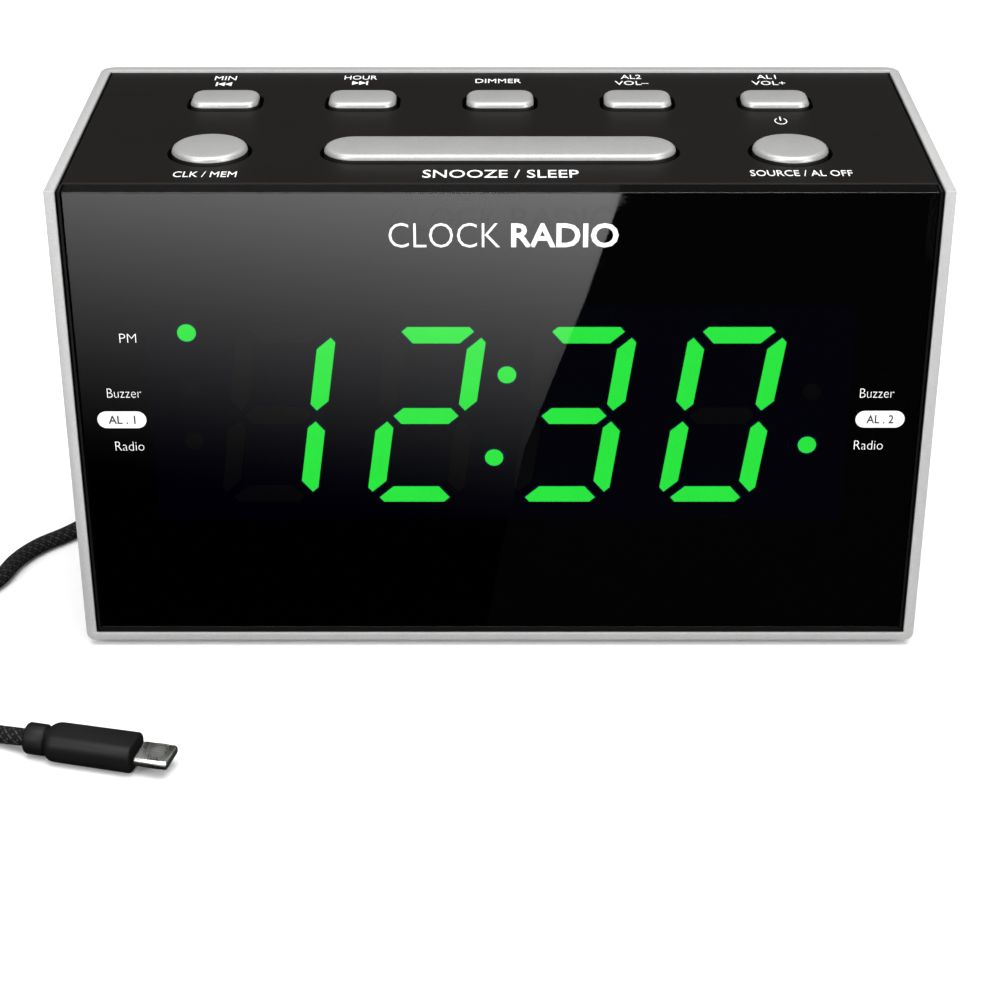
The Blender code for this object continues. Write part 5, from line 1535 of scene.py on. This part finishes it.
@dataclass
class DisplayFront:
    """The smoked lens with its print, the bezel, and the lit display behind the lens."""

    reading: str = "1230"
    pitch: float = 0.02375
    half_width: float = 0.0078
    half_height: float = 0.0156
    stroke: float = 0.0028
    slant: float = 0.14
    level_end: float = 0.0057
    middle_end: float = 0.0052
    upright_low: float = 0.001
    upright_high: float = 0.01375
    outer_chamfer: float = 0.0008
    lamp_radius: float = 0.00148
    colon: tuple[tuple[float, float], ...] = ((0.0011, 0.0073), (-0.00095, -0.0075))
    lamps_lit: tuple[tuple[float, float], ...] = ((-0.0494, 0.0146), (0.0496, -0.0052))
    lamps_dark: tuple[tuple[float, float], ...] = ((-0.0494, 0.0051), (-0.0494, -0.0044), (0.0498, 0.0043))
    halo: float = 0.00035
    window_levels: tuple[float, float] = (0.00012, 0.00018)
    halo_levels: tuple[float, float] = (0.00003, 0.00008)
    legends: tuple[Legend, ...] = (
        Legend("CLOCK", (-0.0085, 0.0735), (0.0170, 0.0040), -0.012),
        Legend("RADIO", (0.0099, 0.0735), (0.0164, 0.0040), 0.022),
        Legend("PM", (-0.0581, 0.0563), (0.0026, 0.0015), -0.02),
        Legend("Buzzer", (-0.0594, 0.0468), (0.0054, 0.0016), -0.02),
        Legend("Radio", (-0.0592, 0.0374), (0.0046, 0.0016), -0.02),
        Legend("Buzzer", (0.0596, 0.0468), (0.0054, 0.0016), -0.02),
        Legend("Radio", (0.0589, 0.0376), (0.0046, 0.0016), -0.02),
    )
    tags: tuple[Legend, ...] = (
        Legend("AL . 1", (-0.0601, 0.0421), (0.0043, 0.0015), 0.014),
        Legend("AL . 2", (0.0604, 0.0422), (0.0043, 0.0015), 0.014),
    )
    tag_size: tuple[float, float] = (0.0078, 0.00295)

    def build(self) -> None:
        """Dresses the lens, bezel and display parts, lights the digits and prints the legends."""
        dress("display_lens", Finish.LENS, 20.0)
        dress("front_bezel", Finish.BEZEL)
        dress("display_reflector", Finish.MASK)
        dress("segment_light_guide", Finish.GUIDE)
        dress("display_board", Finish.UPRIGHT_BOARD)
        self.light_digits()
        self.print_legends()

    def bar_outline(self, bar: Bar) -> Outline:
        """One bar of a digit, upright and about the digit's middle.

        Args:
            bar: The bar.

        Returns:
            Its points.
        """
        level, side = bar.value
        flat, inner_tip = self.stroke - self.outer_chamfer, self.stroke * 0.4
        if bar is Bar.MIDDLE:
            ends = self.hexagon(-self.middle_end, self.middle_end, self.stroke / 2, self.stroke / 2)
            return [(along, across - self.stroke / 2) for along, across in ends]
        if side == 0:
            ends = self.hexagon(-self.level_end, self.level_end, flat, flat)
            return [(along, level * (self.half_height - self.stroke + across)) for along, across in ends]
        ends = self.hexagon(self.upright_low, self.upright_high, inner_tip, flat)
        return [(side * (self.half_width - self.stroke + across), level * along) for along, across in ends]

    def hexagon(self, start: float, end: float, start_tip: float, end_tip: float) -> Outline:
        """A bar along its own axis, with a 45 degree point at each end.

        Args:
            start: Where its first point is.
            end: Where its last point is.
            start_tip: How far across the first point sits.
            end_tip: How far across the last point sits.

        Returns:
            Pairs of along and across.
        """
        wide = self.stroke
        return [
            (start, start_tip), (start + start_tip, 0.0), (end - end_tip, 0.0),
            (end, end_tip), (end - (wide - end_tip), wide), (start + wide - start_tip, wide),
        ]

    def light_digits(self) -> None:
        """Sets the bars and lamps just in front of the mask, with a faint halo round the lit ones."""
        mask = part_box("display_reflector")
        middle = (mask[0] + mask[1]) / 2
        place = Matrix.Translation((0.0, mask[0].y, middle.z)) @ Matrix.Rotation(math.pi / 2, 4, "X")
        lit, dark, halo = bmesh.new(), bmesh.new(), bmesh.new()
        for number, figure in enumerate(self.reading):
            centre = (number - 1.5) * self.pitch
            for bar in Bar:
                outline = [(centre + x + self.slant * z, z) for x, z in self.bar_outline(bar)]
                shines = bar in LIT_BARS[figure]
                self.add_window(lit if shines else dark, halo, outline, place, shines)
        for x, z in (*self.colon, *self.lamps_lit):
            self.add_window(lit, halo, arc((x, z), self.lamp_radius, 0, 345, 23), place, True)
        for x, z in self.lamps_dark:
            self.add_window(dark, halo, arc((x, z), self.lamp_radius, 0, 345, 23), place, False)
        piece("lit_segments", lit, Finish.LIT)
        # The dark windows glow faintly: painted light, with no lamp behind them.
        piece("dark_segments", dark, Finish.UNLIT)
        piece("segment_halo", halo, Finish.HALO)

    def add_window(
        self, bm: bmesh.types.BMesh, halo: bmesh.types.BMesh, outline: Outline, place: Matrix, lit: bool
    ) -> None:
        """Adds one window of the display, and its halo if it is lit.

        Args:
            bm: The bmesh of windows.
            halo: The bmesh of halos.
            outline: The window's points.
            place: The mask's frame.
            lit: Whether a lamp shines in it.
        """
        area = sum(a[0] * b[1] - b[0] * a[1] for a, b in zip(outline, outline[1:] + outline[:1]))
        outline = outline if area > 0 else outline[::-1]
        add_plate(bm, outline, *self.window_levels, place)
        if not lit:
            return
        middle = (sum(x for x, _ in outline) / len(outline), sum(z for _, z in outline) / len(outline))
        grown = []
        for x, z in outline:
            away = Vector((x - middle[0], z - middle[1]))
            grown.append((x + self.halo * away.normalized()[0], z + self.halo * away.normalized()[1]))
        add_plate(halo, grown, *self.halo_levels, place)

    def print_legends(self) -> None:
        """Prints the words in white on the lens, and the two white tags with their dark words."""
        place = face_frame(Side.FRONT)
        low, high = -0.5 * INK_THICKNESS, INK_THICKNESS
        white, dark = bmesh.new(), bmesh.new()
        for legend in self.legends:
            legend.add_to(white, place, low, high)
        for tag in self.tags:
            half_x, half_z = self.tag_size[0] / 2, self.tag_size[1] / 2
            rim = rounded_rectangle(half_x, half_z, half_z, 8)
            pill = [(tag.centre[0] + x, tag.centre[1] + z) for x, z in rim]
            add_plate(white, pill, low, high, place)
            tag.add_to(dark, place, high * 0.5, high * 2.0)
        piece("lens_legends", white, Finish.WHITE_INK)
        piece("lens_tag_words", dark, Finish.DARK_INK)


# ---------------------------------------------------------------- case, back and inside


@dataclass
class Case:
    """The silver sleeve, its feet, its screws and the battery door."""

    screws: tuple[str, ...] = ("rear_screw", "bottom_screw", "key_board_screw")
    seam: float = 0.0003
    # How far in from the front and from the top the painted shade starts.
    shade_inset: float = 0.0004
    wall_skin: float = 0.0001

    def shell_paint(self) -> ShellPaintWithShade:
        """The shell's paint, with painted shade on the inside faces from just inside the rim of the front and
        of the top.
        """
        bezel, panel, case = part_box("front_bezel"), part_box("top_panel"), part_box("cabinet")
        reach = self.seam + self.wall_skin
        # The box of painted shade: the inside faces of the walls in the gaps round the bezel and the panel.
        low = (bezel[0].x - reach, case[0].y + self.shade_inset, bezel[0].z - reach)
        high = (bezel[1].x + reach, panel[1].y + reach, case[1].z - self.shade_inset)
        return ShellPaintWithShade("silver_shell", (0.48, 0.48, 0.477), inner_low=low, inner_high=high)

    def build(self) -> None:
        """Dresses the case and what closes it."""
        dress("cabinet", self.shell_paint(), 30.0)
        dress("battery_door", Finish.INNER)
        for side in ("left", "right"):
            for screw in self.screws:
                dress(f"{screw}_{side}", Finish.STEEL)
            for end in ("front", "rear"):
                dress(f"foot_{end}_{side}", Finish.RUBBER)


@dataclass
class Electronics:
    """The boards, the parts on them, their flat cables and the sockets in the back."""

    wire_pitch: float = 0.001

    def build(self) -> None:
        """Dresses the electronics."""
        dress("main_board", Finish.FLAT_BOARD)
        dress("key_board", Finish.FLAT_BOARD)
        dress("tuner_shield", Finish.STEEL)
        dress("controller_chip", Finish.INNER)
        dress("filter_capacitor", Finish.OVERMOULD)
        dress("usb_port", Finish.STEEL)
        dress("dc_jack", Finish.INNER)
        dress("aerial_grommet", Finish.RUBBER)
        for name in ("display_ribbon", "key_ribbon"):
            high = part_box(name)[1].x
            dress(name, FlatCable(f"{name}_jacket", self.wire_pitch, high - self.wire_pitch))


@dataclass
class Loudspeaker:
    """The loudspeaker behind the grille."""

    def build(self) -> None:
        """Dresses the loudspeaker."""
        middle = box_middle("speaker_cone")
        dress("speaker_cone", PaperCone("speaker_paper", middle.x, middle.z))
        dress("speaker_frame", Finish.STEEL)
        dress("speaker_magnet", Finish.MAGNET)


@dataclass
class BatteryBay:
    """The two backup cells and their contacts."""

    def build(self) -> None:
        """Dresses the cells and the contacts."""
        for number in (1, 2):
            name = f"battery_cell_{number}"
            low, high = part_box(name)
            dress(name, CellWrap(f"{name}_wrap", low.x, high.x, number == 1))
        for side in ("left", "right"):
            dress(f"battery_contact_{side}", Finish.GOLD)


def main() -> None:
    """Builds the studio and every sub-assembly."""
    logging.basicConfig(level=logging.INFO, format="%(name)s: %(message)s")
    outside = (Studio(), ChargingCord(), Case(), TopDeck(), DisplayFront())
    inside = (Electronics(), Loudspeaker(), BatteryBay())
    for part in (*outside, *inside):
        part.build()
        LOG.info("finished %s", type(part).__name__)


if __name__ == "__main__":
    main()
